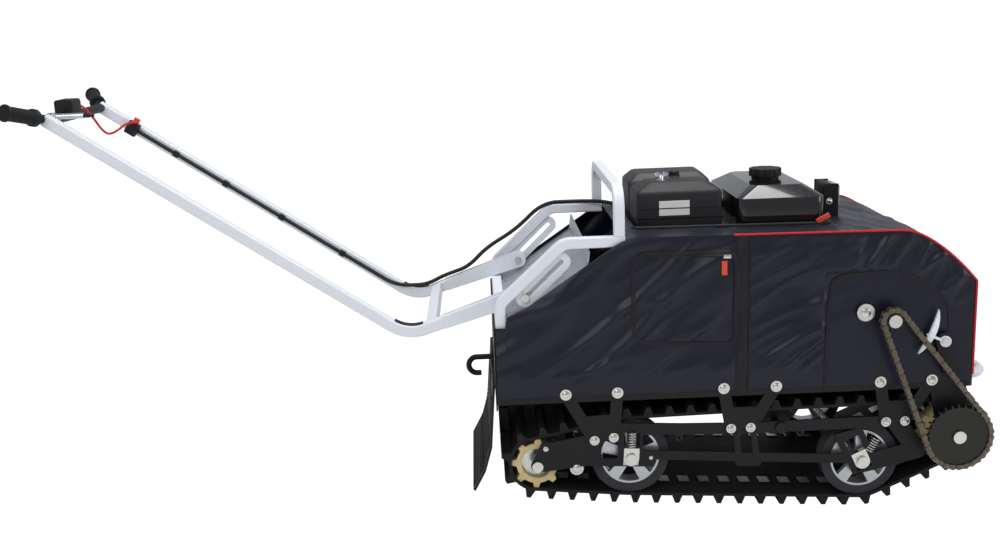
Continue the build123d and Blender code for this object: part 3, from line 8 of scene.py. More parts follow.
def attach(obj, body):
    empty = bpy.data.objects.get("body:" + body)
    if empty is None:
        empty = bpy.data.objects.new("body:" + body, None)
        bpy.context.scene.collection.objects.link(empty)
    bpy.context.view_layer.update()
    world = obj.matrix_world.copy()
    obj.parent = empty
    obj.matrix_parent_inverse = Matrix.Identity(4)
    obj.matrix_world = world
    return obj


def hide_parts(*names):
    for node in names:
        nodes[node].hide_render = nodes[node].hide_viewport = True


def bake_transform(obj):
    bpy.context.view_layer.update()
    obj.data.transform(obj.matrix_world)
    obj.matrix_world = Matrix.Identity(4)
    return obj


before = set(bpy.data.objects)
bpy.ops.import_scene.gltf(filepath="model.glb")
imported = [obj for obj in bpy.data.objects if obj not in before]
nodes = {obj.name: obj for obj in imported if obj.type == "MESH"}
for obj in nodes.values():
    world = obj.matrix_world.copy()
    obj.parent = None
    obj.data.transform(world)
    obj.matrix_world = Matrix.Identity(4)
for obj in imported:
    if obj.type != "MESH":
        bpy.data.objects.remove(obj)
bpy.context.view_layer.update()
print("stage: frame loaded")

moved = Matrix.Translation

# Camera and studio
studio = {
    "cameraPlace": (-0.118, -2.8926, 1.1358), "yaw": 0.02674, "pitch": 0.21638, "roll": 0.02052,
    "focalPixels": 1180.0, "frameWidth": 1000.0, "sensor": 36.0, "worldLight": 0.46,
    "floorGlow": 0.9, "floorSize": 14.0,
    "lights": (
        # name, place, aim, width, height, watts
        ("keyLight", (-1.6, -3.2, 3.0), (0.1, 0, 0.35), 2.4, 1.6, 50),
        ("topLight", (0.5, 0.1, 3.2), (0.1, 0, 0.3), 2.2, 1.4, 62),
        ("sideLight", (3.2, -1.4, 1.4), (0.2, 0, 0.3), 1.4, 1.6, 20),
    ),
}


def linear(value):
    value /= 255
    return value / 12.92 if value <= 0.04045 else ((value + 0.055) / 1.055) ** 2.4


def hexColour(text):
    return tuple(linear(int(text[i : i + 2], 16)) for i in (0, 2, 4)) + (1.0,)


def addNode(tree, kind, settings=(), links=()):
    # settings: (attribute or input, value); links: (input, node, output)
    node = tree.nodes.new("ShaderNode" + kind)
    for key, value in settings:
        if isinstance(key, str) and hasattr(node, key):
            setattr(node, key, value)
        else:
            node.inputs[key].default_value = value
    for key, source, output in links:
        tree.links.new(source.outputs[output], node.inputs[key])
    return node


def makeObject(name, data):
    made = bpy.data.objects.new(name, data)
    bpy.context.scene.collection.objects.link(made)
    return made


def newMaterial(name):
    material = bpy.data.materials.new(name)
    material.use_nodes = True
    tree = material.node_tree
    tree.nodes.clear()
    return material, tree


def makeCamera():
    a = studio["yaw"]
    t = studio["pitch"]
    forward = Vector((math.sin(a) * math.cos(t), math.cos(a) * math.cos(t), -math.sin(t)))
    right = Vector((math.cos(a), -math.sin(a), 0))
    up = right.cross(forward)
    c = math.cos(studio["roll"])
    s = math.sin(studio["roll"])
    imageRight = right * c + up * s
    imageUp = up * c - right * s
    turn = Matrix((imageRight, imageUp, -forward)).transposed()
    data = bpy.data.cameras.new("camera")
    data.sensor_width = studio["sensor"]
    data.lens = studio["focalPixels"] / studio["frameWidth"] * studio["sensor"]
    camera = makeObject("camera", data)
    camera.matrix_world = moved(studio["cameraPlace"]) @ turn.to_4x4()
    bpy.context.scene.camera = camera


def makeStudio():
    makeCamera()
    scene = bpy.context.scene
    scene.view_settings.view_transform = "Standard"
    world = bpy.data.worlds.new("studio")
    scene.world = world
    world.use_nodes = True
    tree = world.node_tree
    tree.nodes.clear()
    path = addNode(tree, "LightPath")
    seen = addNode(
        tree, "Math", [("operation", "ADD"), ("use_clamp", True)],
        [(0, path, "Is Camera Ray"), (1, path, "Is Transmission Ray")],
    )
    soft = addNode(
        tree, "Background", [("Color", hexColour("F6F8FF")), ("Strength", studio["worldLight"])],
    )
    white = addNode(tree, "Background", [("Color", (1, 1, 1, 1)), ("Strength", 1.0)])
    mix = addNode(tree, "MixShader", [], [(0, seen, 0), (1, soft, 0), (2, white, 0)])
    addNode(tree, "OutputWorld", [], [(0, mix, 0)])

    # Pale matte studio floor: white to the camera, keeps a faint shadow
    material, tree = newMaterial("paleStudioFloor")
    path = addNode(tree, "LightPath")
    share = addNode(
        tree, "Math", [("operation", "MULTIPLY"), (1, studio["floorGlow"])],
        [(0, path, "Is Camera Ray")],
    )
    paint = addNode(tree, "BsdfDiffuse", [("Color", hexColour("F4F4F4"))])
    glow = addNode(tree, "Emission", [("Color", (1, 1, 1, 1)), ("Strength", 1.2)])
    mix = addNode(tree, "MixShader", [], [(0, share, 0), (1, paint, 0), (2, glow, 0)])
    addNode(tree, "OutputMaterial", [], [(0, mix, 0)])
    mesh = bmesh.new()
    bmesh.ops.create_grid(mesh, x_segments=1, y_segments=1, size=studio["floorSize"])
    data = bpy.data.meshes.new("floor")
    mesh.to_mesh(data)
    mesh.free()
    data.materials.append(material)
    floor = makeObject("floor", data)

    for name, place, aim, width, height, power in studio["lights"]:
        data = bpy.data.lights.new(name, "AREA")
        data.shape = "RECTANGLE"
        data.size = width
        data.size_y = height
        data.energy = power
        lamp = makeObject(name, data)
        lamp.location = place
        lamp.rotation_euler = (Vector(aim) - Vector(place)).to_track_quat("-Z", "Y").to_euler()


# The machine's own frames, in millimetres: ground, and body pitched nose up
bodyFrame = {"pitch": math.radians(3.2), "rearX": -46.0, "lowZ": 243.0}
groundMatrix = Matrix.Scale(0.001, 4)


def bodyPoint(along, up, y):
    c = math.cos(bodyFrame["pitch"])
    s = math.sin(bodyFrame["pitch"])
    x = bodyFrame["rearX"] + along * c - up * s
    z = bodyFrame["lowZ"] + along * s + up * c
    return Vector((x, y, z)) / 1000


def makeBodyMatrix():
    c = math.cos(bodyFrame["pitch"])
    s = math.sin(bodyFrame["pitch"])
    turn = Matrix(((c, 0, -s), (0, 1, 0), (s, 0, c)))
    return moved(bodyPoint(0, 0, 0)) @ turn.to_4x4() @ Matrix.Scale(0.001, 4)


bodyMatrix = makeBodyMatrix()


def smoothStep(value, low, high):
    share = min(1.0, max(0.0, (value - low) / (high - low)))
    return share * share * (3 - 2 * share)


def finishPiece(name, mesh, material, body="tug", matrix=bodyMatrix, sharpDegrees=35.0):
    # Puts a mesh in its place, merges its doubles and marks its sharp edges
    if matrix is not None:
        bmesh.ops.transform(mesh, matrix=matrix, verts=mesh.verts)
    bmesh.ops.remove_doubles(mesh, verts=mesh.verts, dist=2e-6)
    bmesh.ops.recalc_face_normals(mesh, faces=mesh.faces)
    limit = math.radians(sharpDegrees)
    for face in mesh.faces:
        face.smooth = True
    for edge in mesh.edges:
        edge.smooth = len(edge.link_faces) == 2 and edge.calc_face_angle(0) < limit
    data = bpy.data.meshes.new(name)
    mesh.to_mesh(data)
    mesh.free()
    data.materials.append(finishes[material])
    piece = makeObject(name, data)
    if body:
        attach(piece, body)
    return piece


def applyModifiers(piece):
    # The finished mesh takes the place of the mesh and its modifiers
    view = bpy.context.evaluated_depsgraph_get()
    finished = bpy.data.meshes.new_from_object(piece.evaluated_get(view))
    piece.modifiers.clear()
    piece.data = finished


def tubeAlong(name, points, radius, material, body, bevelSteps=3, cyclic=False):
    # Round tube on one smooth line through its control points, and that line's own points
    data = bpy.data.curves.new(name, "CURVE")
    data.dimensions = "3D"
    data.resolution_u = 8
    data.use_fill_caps = not cyclic
    spline = data.splines.new("NURBS")
    spline.points.add(len(points) - 1)
    for point, place in zip(spline.points, points):
        point.co = (*place, 1.0)
    spline.order_u = 3
    spline.use_cyclic_u = cyclic
    spline.use_endpoint_u = not cyclic
    curve = makeObject(name, data)
    view = bpy.context.evaluated_depsgraph_get()
    bare = bpy.data.meshes.new_from_object(curve.evaluated_get(view))
    line = [vertex.co.copy() for vertex in bare.vertices]
    data.bevel_depth = radius
    data.bevel_resolution = bevelSteps
    view.update()
    tube = bpy.data.meshes.new_from_object(curve.evaluated_get(view))
    bpy.data.objects.remove(curve)
    mesh = bmesh.new()
    mesh.from_mesh(tube)
    piece = finishPiece(name, mesh, material, body, None, 60)
    return piece, line


def roundEdges(mesh, edges, width, segments):
    bmesh.ops.bevel(
        mesh, geom=edges, offset=width, offset_type="OFFSET", affect="EDGES", segments=segments,
        profile=0.5, material=-1, clamp_overlap=True,
    )


def softBox(mesh, size, matrix, radius, segments=3):
    # Box with rounded edges, added to a mesh
    made = bmesh.ops.create_cube(mesh, size=1.0, matrix=matrix @ Matrix.Diagonal((*size, 1.0)))
    edges = list({edge for vertex in made["verts"] for edge in vertex.link_edges})
    roundEdges(mesh, edges, radius, segments)


def roundBar(mesh, matrix, radius, endRadius, length, steps):
    bmesh.ops.create_cone(
        mesh, cap_ends=True, segments=steps, radius1=radius, radius2=endRadius, depth=length,
        matrix=matrix,
    )


def boxPiece(name, material, boxes, matrix=bodyMatrix):
    # Piece made of rounded boxes: size, matrix, edge radius, edge segments
    mesh = bmesh.new()
    for box in boxes:
        softBox(mesh, *box)
    return finishPiece(name, mesh, material, "tug", matrix)


# Layers of a bolt head, as shares of its radius and height: radius, low, high, narrowing
headLayers = ((1.0, 0.0, 0.25, 0.96), (0.86, 0.25, 0.7, 0.9), (0.774, 0.7, 1.0, 0.55))


def domedHead(mesh, place, outward, radius, height, washer=1.0):
    # Washer and low domed bolt head, its axis across the machine
    turn = Matrix.Rotation(math.radians(-90 * outward), 4, "X")
    for share, low, high, narrow in headLayers:
        reach = radius * share if low else radius * washer
        low, high = height * low, height * high
        middle = moved(place) @ turn @ moved((0, 0, (low + high) / 2))
        roundBar(mesh, middle, reach, reach * narrow, high - low, 20)


def spunPiece(mesh, profile, matrix, steps=32):
    # Full turn of a profile of (radius, height) points round the local Z axis
    corners = [mesh.verts.new((radius, 0, height)) for radius, height in profile]
    edges = [mesh.edges.new(pair) for pair in zip(corners, corners[1:])]
    spun = bmesh.ops.spin(
        mesh, geom=corners + edges, cent=(0, 0, 0), axis=(0, 0, 1), angle=2 * math.pi, steps=steps,
        use_merge=True,
    )
    last = {item for item in spun["geom_last"] if isinstance(item, bmesh.types.BMVert)}
    made = set(corners) | last
    grown = set(made)
    while made:
        made = {other for v in made for edge in v.link_edges for other in edge.verts} - grown
        grown |= made
    bmesh.ops.transform(mesh, matrix=matrix, verts=list(grown))


def axisMatrix(origin, direction, side=Vector((0, 1, 0))):
    # Frame whose Z axis runs along a direction
    z = Vector(direction).normalized()
    x = side.cross(z)
    if x.length < 1e-4:
        x = Vector((1, 0, 0)).cross(z)
    x.normalize()
    y = z.cross(x)
    turn = Matrix((x, y, z)).transposed()
    return moved(origin) @ turn.to_4x4()


def softened(nodeName, width, segments, material, body="tug", sharp=24.0):
    # Copy of a CAD piece with its moulded or pressed edges rounded
    mesh = bmesh.new()
    mesh.from_mesh(nodes[nodeName].data)
    bmesh.ops.remove_doubles(mesh, verts=mesh.verts, dist=1e-5)
    bmesh.ops.dissolve_limit(
        mesh, angle_limit=math.radians(1.5), verts=mesh.verts, edges=mesh.edges
    )
    corners = [
        edge
        for edge in mesh.edges
        if len(edge.link_faces) == 2 and edge.calc_face_angle(0) > math.radians(sharp)
    ]
    roundEdges(mesh, corners, width / 1000, segments)
    piece = finishPiece(nodeName + "Soft", mesh, material, body, None, 50)
    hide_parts(nodeName)
    return piece


def surface(
    name, colour, second, mottleMm, metallic, roughness, spread, bumpMm, bumpStrength, extra=()
):
    # Two close colours in a soft mottle, with its own roughness spread and fine relief
    material, tree = newMaterial(name)
    place = addNode(tree, "TexCoord")
    mottle = addNode(
        tree, "TexNoise", [("Scale", 1000 / mottleMm), ("Detail", 4.0), ("Roughness", 0.55)],
        [("Vector", place, "Object")],
    )
    tone = addNode(
        tree, "Mix", [("data_type", "RGBA"), (6, hexColour(colour)), (7, hexColour(second))],
        [(0, mottle, 0)],
    )
    gloss = addNode(
        tree, "MapRange", [("To Min", roughness - spread), ("To Max", roughness + spread)],
        [("Value", mottle, 0)],
    )
    grain = addNode(
        tree, "TexNoise", [("Scale", 1000 / bumpMm), ("Detail", 2.0)],
        [("Vector", place, "Object")],
    )
    bump = addNode(
        tree, "Bump", [("Strength", bumpStrength), ("Distance", bumpMm / 4000)],
        [("Height", grain, 0)],
    )
    shader = addNode(
        tree, "BsdfPrincipled",
        [("Metallic", metallic), ("Specular IOR Level", 0.5 if metallic else 0.28), *extra],
        [("Base Color", tone, 2), ("Roughness", gloss, 0), ("Normal", bump, 0)],
    )
    addNode(tree, "OutputMaterial", [], [(0, shader, 0)])
    return material


makeStudio()
# Name, two colours, mottle mm, metallic, roughness, its spread, grain mm, relief, extras
surfaces = (
    # White powder coat: thick, glossy, a faint orange peel
    ("whitePowderCoat", "DDE1E6", "D6DAE0", 60, 0, 0.34, 0.05, 1.4, 0.12),
    # Black powder coat: satin, fine texture
    ("blackPowderCoat", "0A0A0C", "111113", 30, 0, 0.46, 0.08, 0.8, 0.25),
    # Natural rubber of the track: dull, dusty in the hollows
    ("trackRubber", "0E0E0F", "191818", 45, 0, 0.68, 0.1, 1.2, 0.35),
    # Solid rubber tyres, greyer than the track
    ("tyreRubber", "26272A", "333437", 25, 0, 0.62, 0.08, 1.0, 0.3),
    # Cast aluminium rims, satin with a fine cast skin
    ("castAluminium", "C9CBCE", "B2B5B9", 18, 0.9, 0.36, 0.08, 1.2, 0.3),
    # Bright zinc plate on bolts and axles
    ("zincPlate", "D9D8D2", "C4C3BC", 12, 1.0, 0.28, 0.08, 0.8, 0.12),
    # Bare spring steel of coils, chain rollers and track clips
    ("springSteel", "B9B9B7", "9C9C9A", 10, 1.0, 0.3, 0.08, 0.8, 0.15),
    # Polyethylene sprockets: waxy and slightly stained
    (
        "naturalPolyethylene", "D8C898", "BBA671", 30, 0, 0.5, 0.08, 1.6, 0.2,
        [("Subsurface Weight", 0.08), ("Subsurface Scale", 0.004)],
    ),
    # Black polypropylene of pods, rollers, clips and cap: grained
    ("mouldedPolypropylene", "101012", "17171A", 40, 0, 0.52, 0.06, 0.9, 0.3),
    # Air cleaner: dark grey plastic, matte
    ("matteEnginePlastic", "262628", "1D1D1F", 60, 0, 0.5, 0.06, 0.8, 0.25),
    # Muffler cover and engine: dark heat-resistant paint
    ("heatPaintedSteel", "1E1E20", "2A2A2C", 50, 0.2, 0.48, 0.08, 1.0, 0.25),
    # Stoved gloss enamel of the fuel tank
    (
        "blackGlossEnamel", "0B0B0D", "101013", 80, 0, 0.12, 0.03, 2.0, 0.03,
        [("Coat Weight", 0.8), ("Coat Roughness", 0.05)],
    ),
    # Oiled, used chain steel, brown in the hollows
    ("oiledChainSteel", "7C7263", "4A4238", 6, 0.75, 0.42, 0.12, 1.0, 0.3),
    # Chain sprockets: blackened steel under oil
    ("blackenedSteel", "1A1915", "26241D", 25, 0.4, 0.42, 0.08, 1.0, 0.2),
    # Tensioner shoe: white nylon, hardly stained
    ("whiteNylon", "E8E9EC", "DFE1E6", 20, 0, 0.42, 0.05, 1.0, 0.1),
    # Mudflap: dull black rubber; on the elbow strips it is painted shade for the dark slot inside
    # each bend
    ("rubberAndSlotShade", "1A1A1C", "232325", 30, 0, 0.6, 0.08, 1.0, 0.35),
    # Grips: soft black rubber
    ("gripRubber", "0F0F11", "17171A", 14, 0, 0.58, 0.06, 0.8, 0.35),
    # Throttle and fittings: polished aluminium
    ("polishedAluminium", "D2D4D8", "BFC2C8", 14, 1.0, 0.24, 0.06, 0.8, 0.1),
    # Stop button and zip pulls: orange-red plastic
    ("redPlastic", "D8523A", "C8452F", 12, 0, 0.38, 0.05, 0.8, 0.08),
    # Smooth black sheath of the cables
    ("cableSheath", "151517", "1F1F22", 8, 0, 0.5, 0.06, 0.8, 0.15),
    # Red cord sewn into the cover's upper seam
    ("redPiping", "C4202C", "A91923", 8, 0, 0.55, 0.06, 0.8, 0.2),
    # Pale lens of the headlight under a clear coat
    (
        "lampLens", "8C9096", "777B82", 14, 0.2, 0.16, 0.04, 4.0, 0.2,
        [("Coat Weight", 0.7), ("Coat Roughness", 0.04)],
    ),
)
finishes = {row[0]: surface(*row) for row in surfaces}

def galvanisedSheet():
    # Zinc-dipped sheet: crystal spangle about 11 mm across, grey and softly mirrored
    material, tree = newMaterial("galvanisedSheet")
    place = addNode(tree, "TexCoord")
    spangle = addNode(tree, "TexVoronoi", [("Scale", 1000 / 11)], [("Vector", place, "Object")])
    tone = addNode(
        tree, "Mix", [("data_type", "RGBA"), (6, hexColour("A3ABB1")), (7, hexColour("C3CACF"))],
        [(0, spangle, "Color")],
    )
    gloss = addNode(
        tree, "MapRange", [("To Min", 0.26), ("To Max", 0.42)], [("Value", spangle, "Color")],
    )
    shader = addNode(
        tree, "BsdfPrincipled", [("Metallic", 0.9)],
        [("Base Color", tone, 2), ("Roughness", gloss, 0)],
    )
    addNode(tree, "OutputMaterial", [], [(0, shader, 0)])
    return material


def wovenCloth(name, warp, weft, threadMm, roughness, sheen, relief):
    # Plain weave from two crossed thread waves; the real thread is finer than the render shows
    material, tree = newMaterial(name)
    place = addNode(tree, "TexCoord")
    turned = addNode(
        tree, "Mapping", [("Rotation", (0, bodyFrame["pitch"], 0))], [("Vector", place, "Object")],
    )
    waves = []
    for direction in ("X", "Z"):
        waves.append(
            addNode(
                tree,
                "TexWave",
                [
                    ("bands_direction", direction), ("Scale", 1000 / threadMm / 6.283),
                    ("Distortion", 0.4),
                ],
                [("Vector", turned, 0)],
            )
        )
    weave = addNode(
        tree, "Math", [("operation", "MULTIPLY")], [(0, waves[0], "Fac"), (1, waves[1], "Fac")],
    )
    cloud = addNode(
        tree, "TexNoise", [("Scale", 14.0), ("Detail", 5.0)], [("Vector", place, "Object")],
    )
    dust = addNode(
        tree, "Mix", [("data_type", "RGBA"), (6, hexColour(warp)), (7, hexColour(weft))],
        [(0, cloud, 0)],
    )
    bump = addNode(
        tree, "Bump", [("Strength", relief), ("Distance", threadMm / 5000)],
        [("Height", weave, 0)],
    )
    shader = addNode(
        tree,
        "BsdfPrincipled",
        [
            ("Roughness", roughness), ("Specular IOR Level", 0.3), ("Sheen Weight", sheen),
            ("Sheen Roughness", 0.4),
        ],
        [("Base Color", dust, 2), ("Normal", bump, 0)],
    )
    addNode(tree, "OutputMaterial", [], [(0, shader, 0)])
    return material


finishes["galvanisedSheet"] = galvanisedSheet()
# Coated nylon of the cover: dark blue-black, drawn with 1.6 mm threads so that the weave shows
finishes["coatedNylon"] = wovenCloth("coatedNylon", "0B0C16", "141726", 1.6, 0.36, 0.04, 0.3)
# Pale matt film of a blank sticker
finishes["stickerFilm"] = surface("stickerFilm", "D9D9D4", "CFCFCA", 20, 0, 0.5, 0.04, 1.0, 0.05)
# Black binding tape sewn on hems, pocket and opening
finishes["bindingTape"] = wovenCloth("bindingTape", "0C0C0F", "131317", 1.2, 0.6, 0.1, 0.5)
# Red webbing of the lanyard
finishes["redWebbing"] = wovenCloth("redWebbing", "B5141D", "C61F27", 1.2, 0.55, 0.15, 0.6)

nodeFinishes = {
    "trackRubber": "track_belt", "tyreRubber": "road_tyres", "castAluminium": "road_rims",
    "zincPlate": (
        "road_axles axle_blocks idler_axle drive_axle jackshaft tensioner_stud pivot_bolts"
    ),
    "springSteel": "suspension_springs",
    "blackPowderCoat": (
        "suspension_plates hangers cross_tubes tensioner_lever chassis_tub headlight_bracket"
        " hitch_plate tow_hook handlebar"
    ),
    "naturalPolyethylene": "idler_sprockets drive_sprockets",
    "mouldedPolypropylene": "upper_rollers fuel_cap control_pod stop_switch cable_clips",
    "blackenedSteel": "chain_sprocket_large chain_sprocket_small",
    "oiledChainSteel": "roller_chain", "whiteNylon": "tensioner_shoe",
    "whitePowderCoat": (
        "rear_frames frame_hoop rest_tube front_bumper handle_arms handle_tubes"
        " handle_cross_tube"
    ),
    "galvanisedSheet": "slope_panel",
    "coatedNylon": "cover_sides cover_top cover_nose",
    "heatPaintedSteel": "engine_block muffler_cover",
    "matteEnginePlastic": "air_cleaner", "blackGlossEnamel": "fuel_tank", "lampLens": "headlight",
    "rubberAndSlotShade": "mudflap", "gripRubber": "grips", "polishedAluminium": "throttle",
    "redPlastic": "stop_button",
    "cableSheath": "handle_cable hinge_cable frame_cable",
    "redWebbing": "lanyard",
}
for finish, names in nodeFinishes.items():
    for nodeName in names.split():
        data = nodes[nodeName].data
        data.materials.clear()
        data.materials.append(finishes[finish])
print("stage: studio and finishes made")


# Fabric cover, in body millimetres: sides from hem to edge, and one band over top and nose
cover = {
    "length": 1112.6, "hem": 5.0, "halfWidth": 272.2,
    "notch": ((27.0, 189.0), (27.0, 214.0), (75.0, 237.0)),
    "slopeEnd": (304.0, 390.0),
    "nose": ((954.0, 383.0), (1042.5, 329.5), (1112.6, 258.0)),
    "noseLow": 28.0, "bandStart": 304.2, "bandHalfWidth": 269.6, "opening": (332.0, 797.0, 182.0),
    "clothThickness": 1.6, "patch": (767.0, 1058.0, 286.0), "patchCorner": (958, 288),
    "patchSlant": (0.66, 0.75), "patchFade": (-4, 16), "edgeBlend": 22.0, "noseBlend": 9.0,
    "noseRun": 70, "sideStart": 0.4, "sideGrid": (200, 70), "sideRoll": (3.6, 7.0), "sideFade": 30,
    "frontShare": 0.9, "sideFlatHeight": 0.39, "sideArea": 0.386,
    "boltPlaces": (159, 280, 529, 652, 897, 1018),
    "boltRise": 23.0,
}

# How the sides' cloth stands off, in millimetres; a fold family says its zone, height, lean
# in degrees, spacing, reach, seed, and 1 where the two sides differ
cloth = {
    "calm": 0.12, "hem": (26, 80), "billow": (210, 150, 4.0, 9.0), "frontAlong": (600, 880),
    "frontUp": (170, 330), "middleRear": (545, 640), "middleFront": (820, 930), "rear": (500, 640),
    "folds": (
        ("front", 10.0, 50, 40, 230, 1.3, 1), ("front", 5.0, 60, 24, 150, 7.7, 0),
        ("middle", 12.0, 43, 90, 380, 2.9, 1), ("middle", 6.0, 28, 42, 210, 5.1, 0),
        ("rear", 10.0, 40, 84, 300, 9.2, 1), ("rear", 5.0, 22, 60, 240, 3.6, 0),
    ),
    "ridgeSharpness": 2.9, "pullHeight": 1.5, "pullReach": 60, "pullRays": 9, "pullFade": (14, 40),
    "settle": 4.4, "lowest": -4.5, "patchLimit": 1.8, "freeLimit": 9.0,
}


def coverEdge(along):
    # Height of the seam between a side and the band at a place along the cover
    (notchAlong, notchLow), (_, notchHigh), (slopeAlong, slopeLow) = cover["notch"]
    if along < notchAlong:
        return notchLow
    if along < slopeAlong:
        rise, run = slopeLow - notchHigh, slopeAlong - notchAlong
        return notchHigh + (along - notchAlong) * rise / run
    endAlong, endUp = cover["slopeEnd"]
    first, middle, last = cover["nose"]
    slope = slopeLow + (along - slopeAlong) * (endUp - slopeLow) / (endAlong - slopeAlong)
    level = endUp + (along - endAlong) * (first[1] - endUp) / (first[0] - endAlong)
    height = softLower(slope, level, cover["edgeBlend"])
    if along <= first[0] - cover["noseRun"]:
        return height
    nose = 0.0
    for own, other, third in ((first, middle, last), (middle, first, last), (last, first, middle)):
        nose += (
            own[1] * (along - other[0]) * (along - third[0])
            / ((own[0] - other[0]) * (own[0] - third[0]))
        )
    return softLower(height, nose, cover["noseBlend"])


def softLower(a, b, blend):
    # The lower of two heights, rounded where they cross
    share = max(blend - abs(a - b), 0.0) / blend
    return min(a, b) - share * share * blend / 4


def fold(along, up, leanDegrees, spacing, reach, seed):
    # One family of soft folds: ridges of stretched noise along a lean
    lean = math.radians(leanDegrees)
    across = (along * math.sin(lean) - up * math.cos(lean)) / spacing
    down = (along * math.cos(lean) + up * math.sin(lean)) / reach
    level = abs(noise.noise(Vector((across, down, seed))))
    ridge = 1 - min(1.0, level * cloth["ridgeSharpness"])
    return ridge * ridge * (3 - 2 * ridge)


def outsidePatch(along, up):
    # 0 on the smooth reinforced patch behind the chain, 1 well outside it
    rear, front, top = cover["patch"]
    cornerAlong, cornerUp = cover["patchCorner"]
    slantAlong, slantUp = cover["patchSlant"]
    corner = (along - cornerAlong) * slantAlong + (up - cornerUp) * slantUp
    return smoothStep(max(rear - along, up - top, along - front, corner), *cover["patchFade"])


def coverRelief(along, up, side):
    # How far the cloth stands out at a place: slow billows, folds and the pull of the hem bolts
    free = outsidePatch(along, up) if side < 0 else 1.0
    calm = cloth["calm"] + (1 - cloth["calm"]) * free
    hem = smoothStep(up, *cloth["hem"])
    billowAlong, billowUp, billowSeed, billowHeight = cloth["billow"]
    billow = billowHeight * noise.noise(
        Vector((along / billowAlong, up / billowUp, billowSeed + side))
    )
    middleEnd = 1 - smoothStep(along, *cloth["middleFront"])
    zones = {
        "front": smoothStep(along, *cloth["frontAlong"]) * smoothStep(up, *cloth["frontUp"]),
        "middle": smoothStep(along, *cloth["middleRear"]) * middleEnd,
        "rear": 1 - smoothStep(along, *cloth["rear"]),
    }
    folds = 0.0
    for zone, height, lean, spacing, reach, seed, differs in cloth["folds"]:
        own = fold(along, up, lean, spacing, reach, seed + differs * side)
        folds += height * zones[zone] * own
    pull = 0.0
    for boltAlong in cover["boltPlaces"]:
        rise = up - cover["boltRise"]
        away = math.hypot(along - boltAlong, rise)
        rays = 0.5 + 0.5 * math.cos(cloth["pullRays"] * math.atan2(rise, along - boltAlong))
        strength = cloth["pullHeight"] * math.exp(-((away / cloth["pullReach"]) ** 2))
        pull += strength * rays * smoothStep(away, *cloth["pullFade"])
    stand = (billow + folds) * calm * hem + pull * calm
    limit = cloth["patchLimit"] + cloth["freeLimit"] * free
    return max(cloth["lowest"], min(limit, stand - cloth["settle"]))


def sidePoint(along, up, side, lift=0.0):
    # Place on the outer face of a side, rolled in at its upper edge
    frontGap = (cover["length"] - along) * cover["frontShare"]
    inside = max(0.0, min(coverEdge(along) - up, frontGap))
    rollDepth, rollReach = cover["sideRoll"]
    roll = rollDepth * math.exp(-inside / rollReach)
    stand = coverRelief(along, up, side) * smoothStep(inside, 0, cover["sideFade"])
    return Vector((along, side * (cover["halfWidth"] + stand - roll + lift), up))


def clothSheet(name, mesh):
    # Gives an open sheet its thickness and hangs it on the tug
    piece = finishPiece(name, mesh, "coatedNylon", None, bodyMatrix, 70)
    wall = piece.modifiers.new("cloth", "SOLIDIFY")
    wall.thickness = cover["clothThickness"] / 1000
    wall.offset = -1.0
    applyModifiers(piece)
    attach(piece, "tug")
    return piece


def faceOutward(mesh, outward):
    # Turns every face of an open sheet to the outer side of the cover
    mesh.normal_update()
    wrong = [
        face
        for face in mesh.faces
        if face.normal.dot(outward(face.calc_center_median())) < 0
    ]
    bmesh.ops.reverse_faces(mesh, faces=wrong)


def makeCoverSide(side):
    # Grid from the hem to the seam, one for each side
    mesh = bmesh.new()
    alongSteps, upSteps = cover["sideGrid"]
    bmesh.ops.create_grid(mesh, x_segments=alongSteps, y_segments=upSteps, size=0.5)
    for vertex in mesh.verts:
        along = cover["sideStart"] + (vertex.co.x + 0.5) * cover["length"]
        share = vertex.co.y + 0.5
        up = cover["hem"] + (coverEdge(along) - cover["hem"]) * share
        vertex.co = sidePoint(along, up, side)
    return mesh


def outlineLine(start, step=4.0):
    # Points of the seam from a place on the top, over the nose and down the front edge
    line = []
    along = start
    while along < cover["length"]:
        line.append((along, coverEdge(along)))
        along += step
    up = cover["nose"][2][1]
    while up > cover["noseLow"]:
        line.append((cover["length"], up))
        up -= step
    return line


def lineStation(line, share):
    # Place and outward direction on a line at a share of its length
    lengths = [math.dist(a, b) for a, b in zip(line, line[1:])]
    rest = share * sum(lengths)
    for index, length in enumerate(lengths):
        if rest <= length or index == len(lengths) - 1:
            part = min(1.0, rest / length)
            (x, z), (nextX, nextZ) = line[index], line[index + 1]
            spot = Vector((x + (nextX - x) * part, 0, z + (nextZ - z) * part))
            return spot, Vector(((z - nextZ) / length, 0, (nextX - x) / length)) * -1
        rest -= length


band = {
    "grid": (176, 78), "topAbove": 300, "snap": 3.2, "roll": (3.0, 9.0), "sideFade": 40,
    "frontFade": (800, 860), "billow": (130, 170, 6.0), "lift": (-3.0, 6.0, 1.0), "calm": 0.35,
    "rim": (4.0, 16),
    "folds": ((3.0, 1, 75, 46, 260, 11.5), (2.0, -1, -60, 38, 200, 6.4)),
    "middle": (560, 120), "flat": (1.09, 0.539), "area": 0.417,
}


def bandStand(x, y, z, inside):
    # How far the band stands off: a billow, two families of folds, and a rolled outer edge
    wide, across, height = band["billow"]
    stand = noise.noise(Vector((x / wide, y / across, z / wide))) * height
    for ridge, way, lean, spacing, reach, seed in band["folds"]:
        stand += ridge * fold(x + way * z, y, lean, spacing, reach, seed)
    lowest, highest, settle = band["lift"]
    rollDepth, rollReach = band["roll"]
    front = band["calm"] + (1 - band["calm"]) * smoothStep(x, *band["frontFade"])
    free = smoothStep(inside, 0, band["sideFade"])
    stand = free * front * max(lowest, min(highest, stand - settle))
    return stand - rollDepth * math.exp(-inside / rollReach)


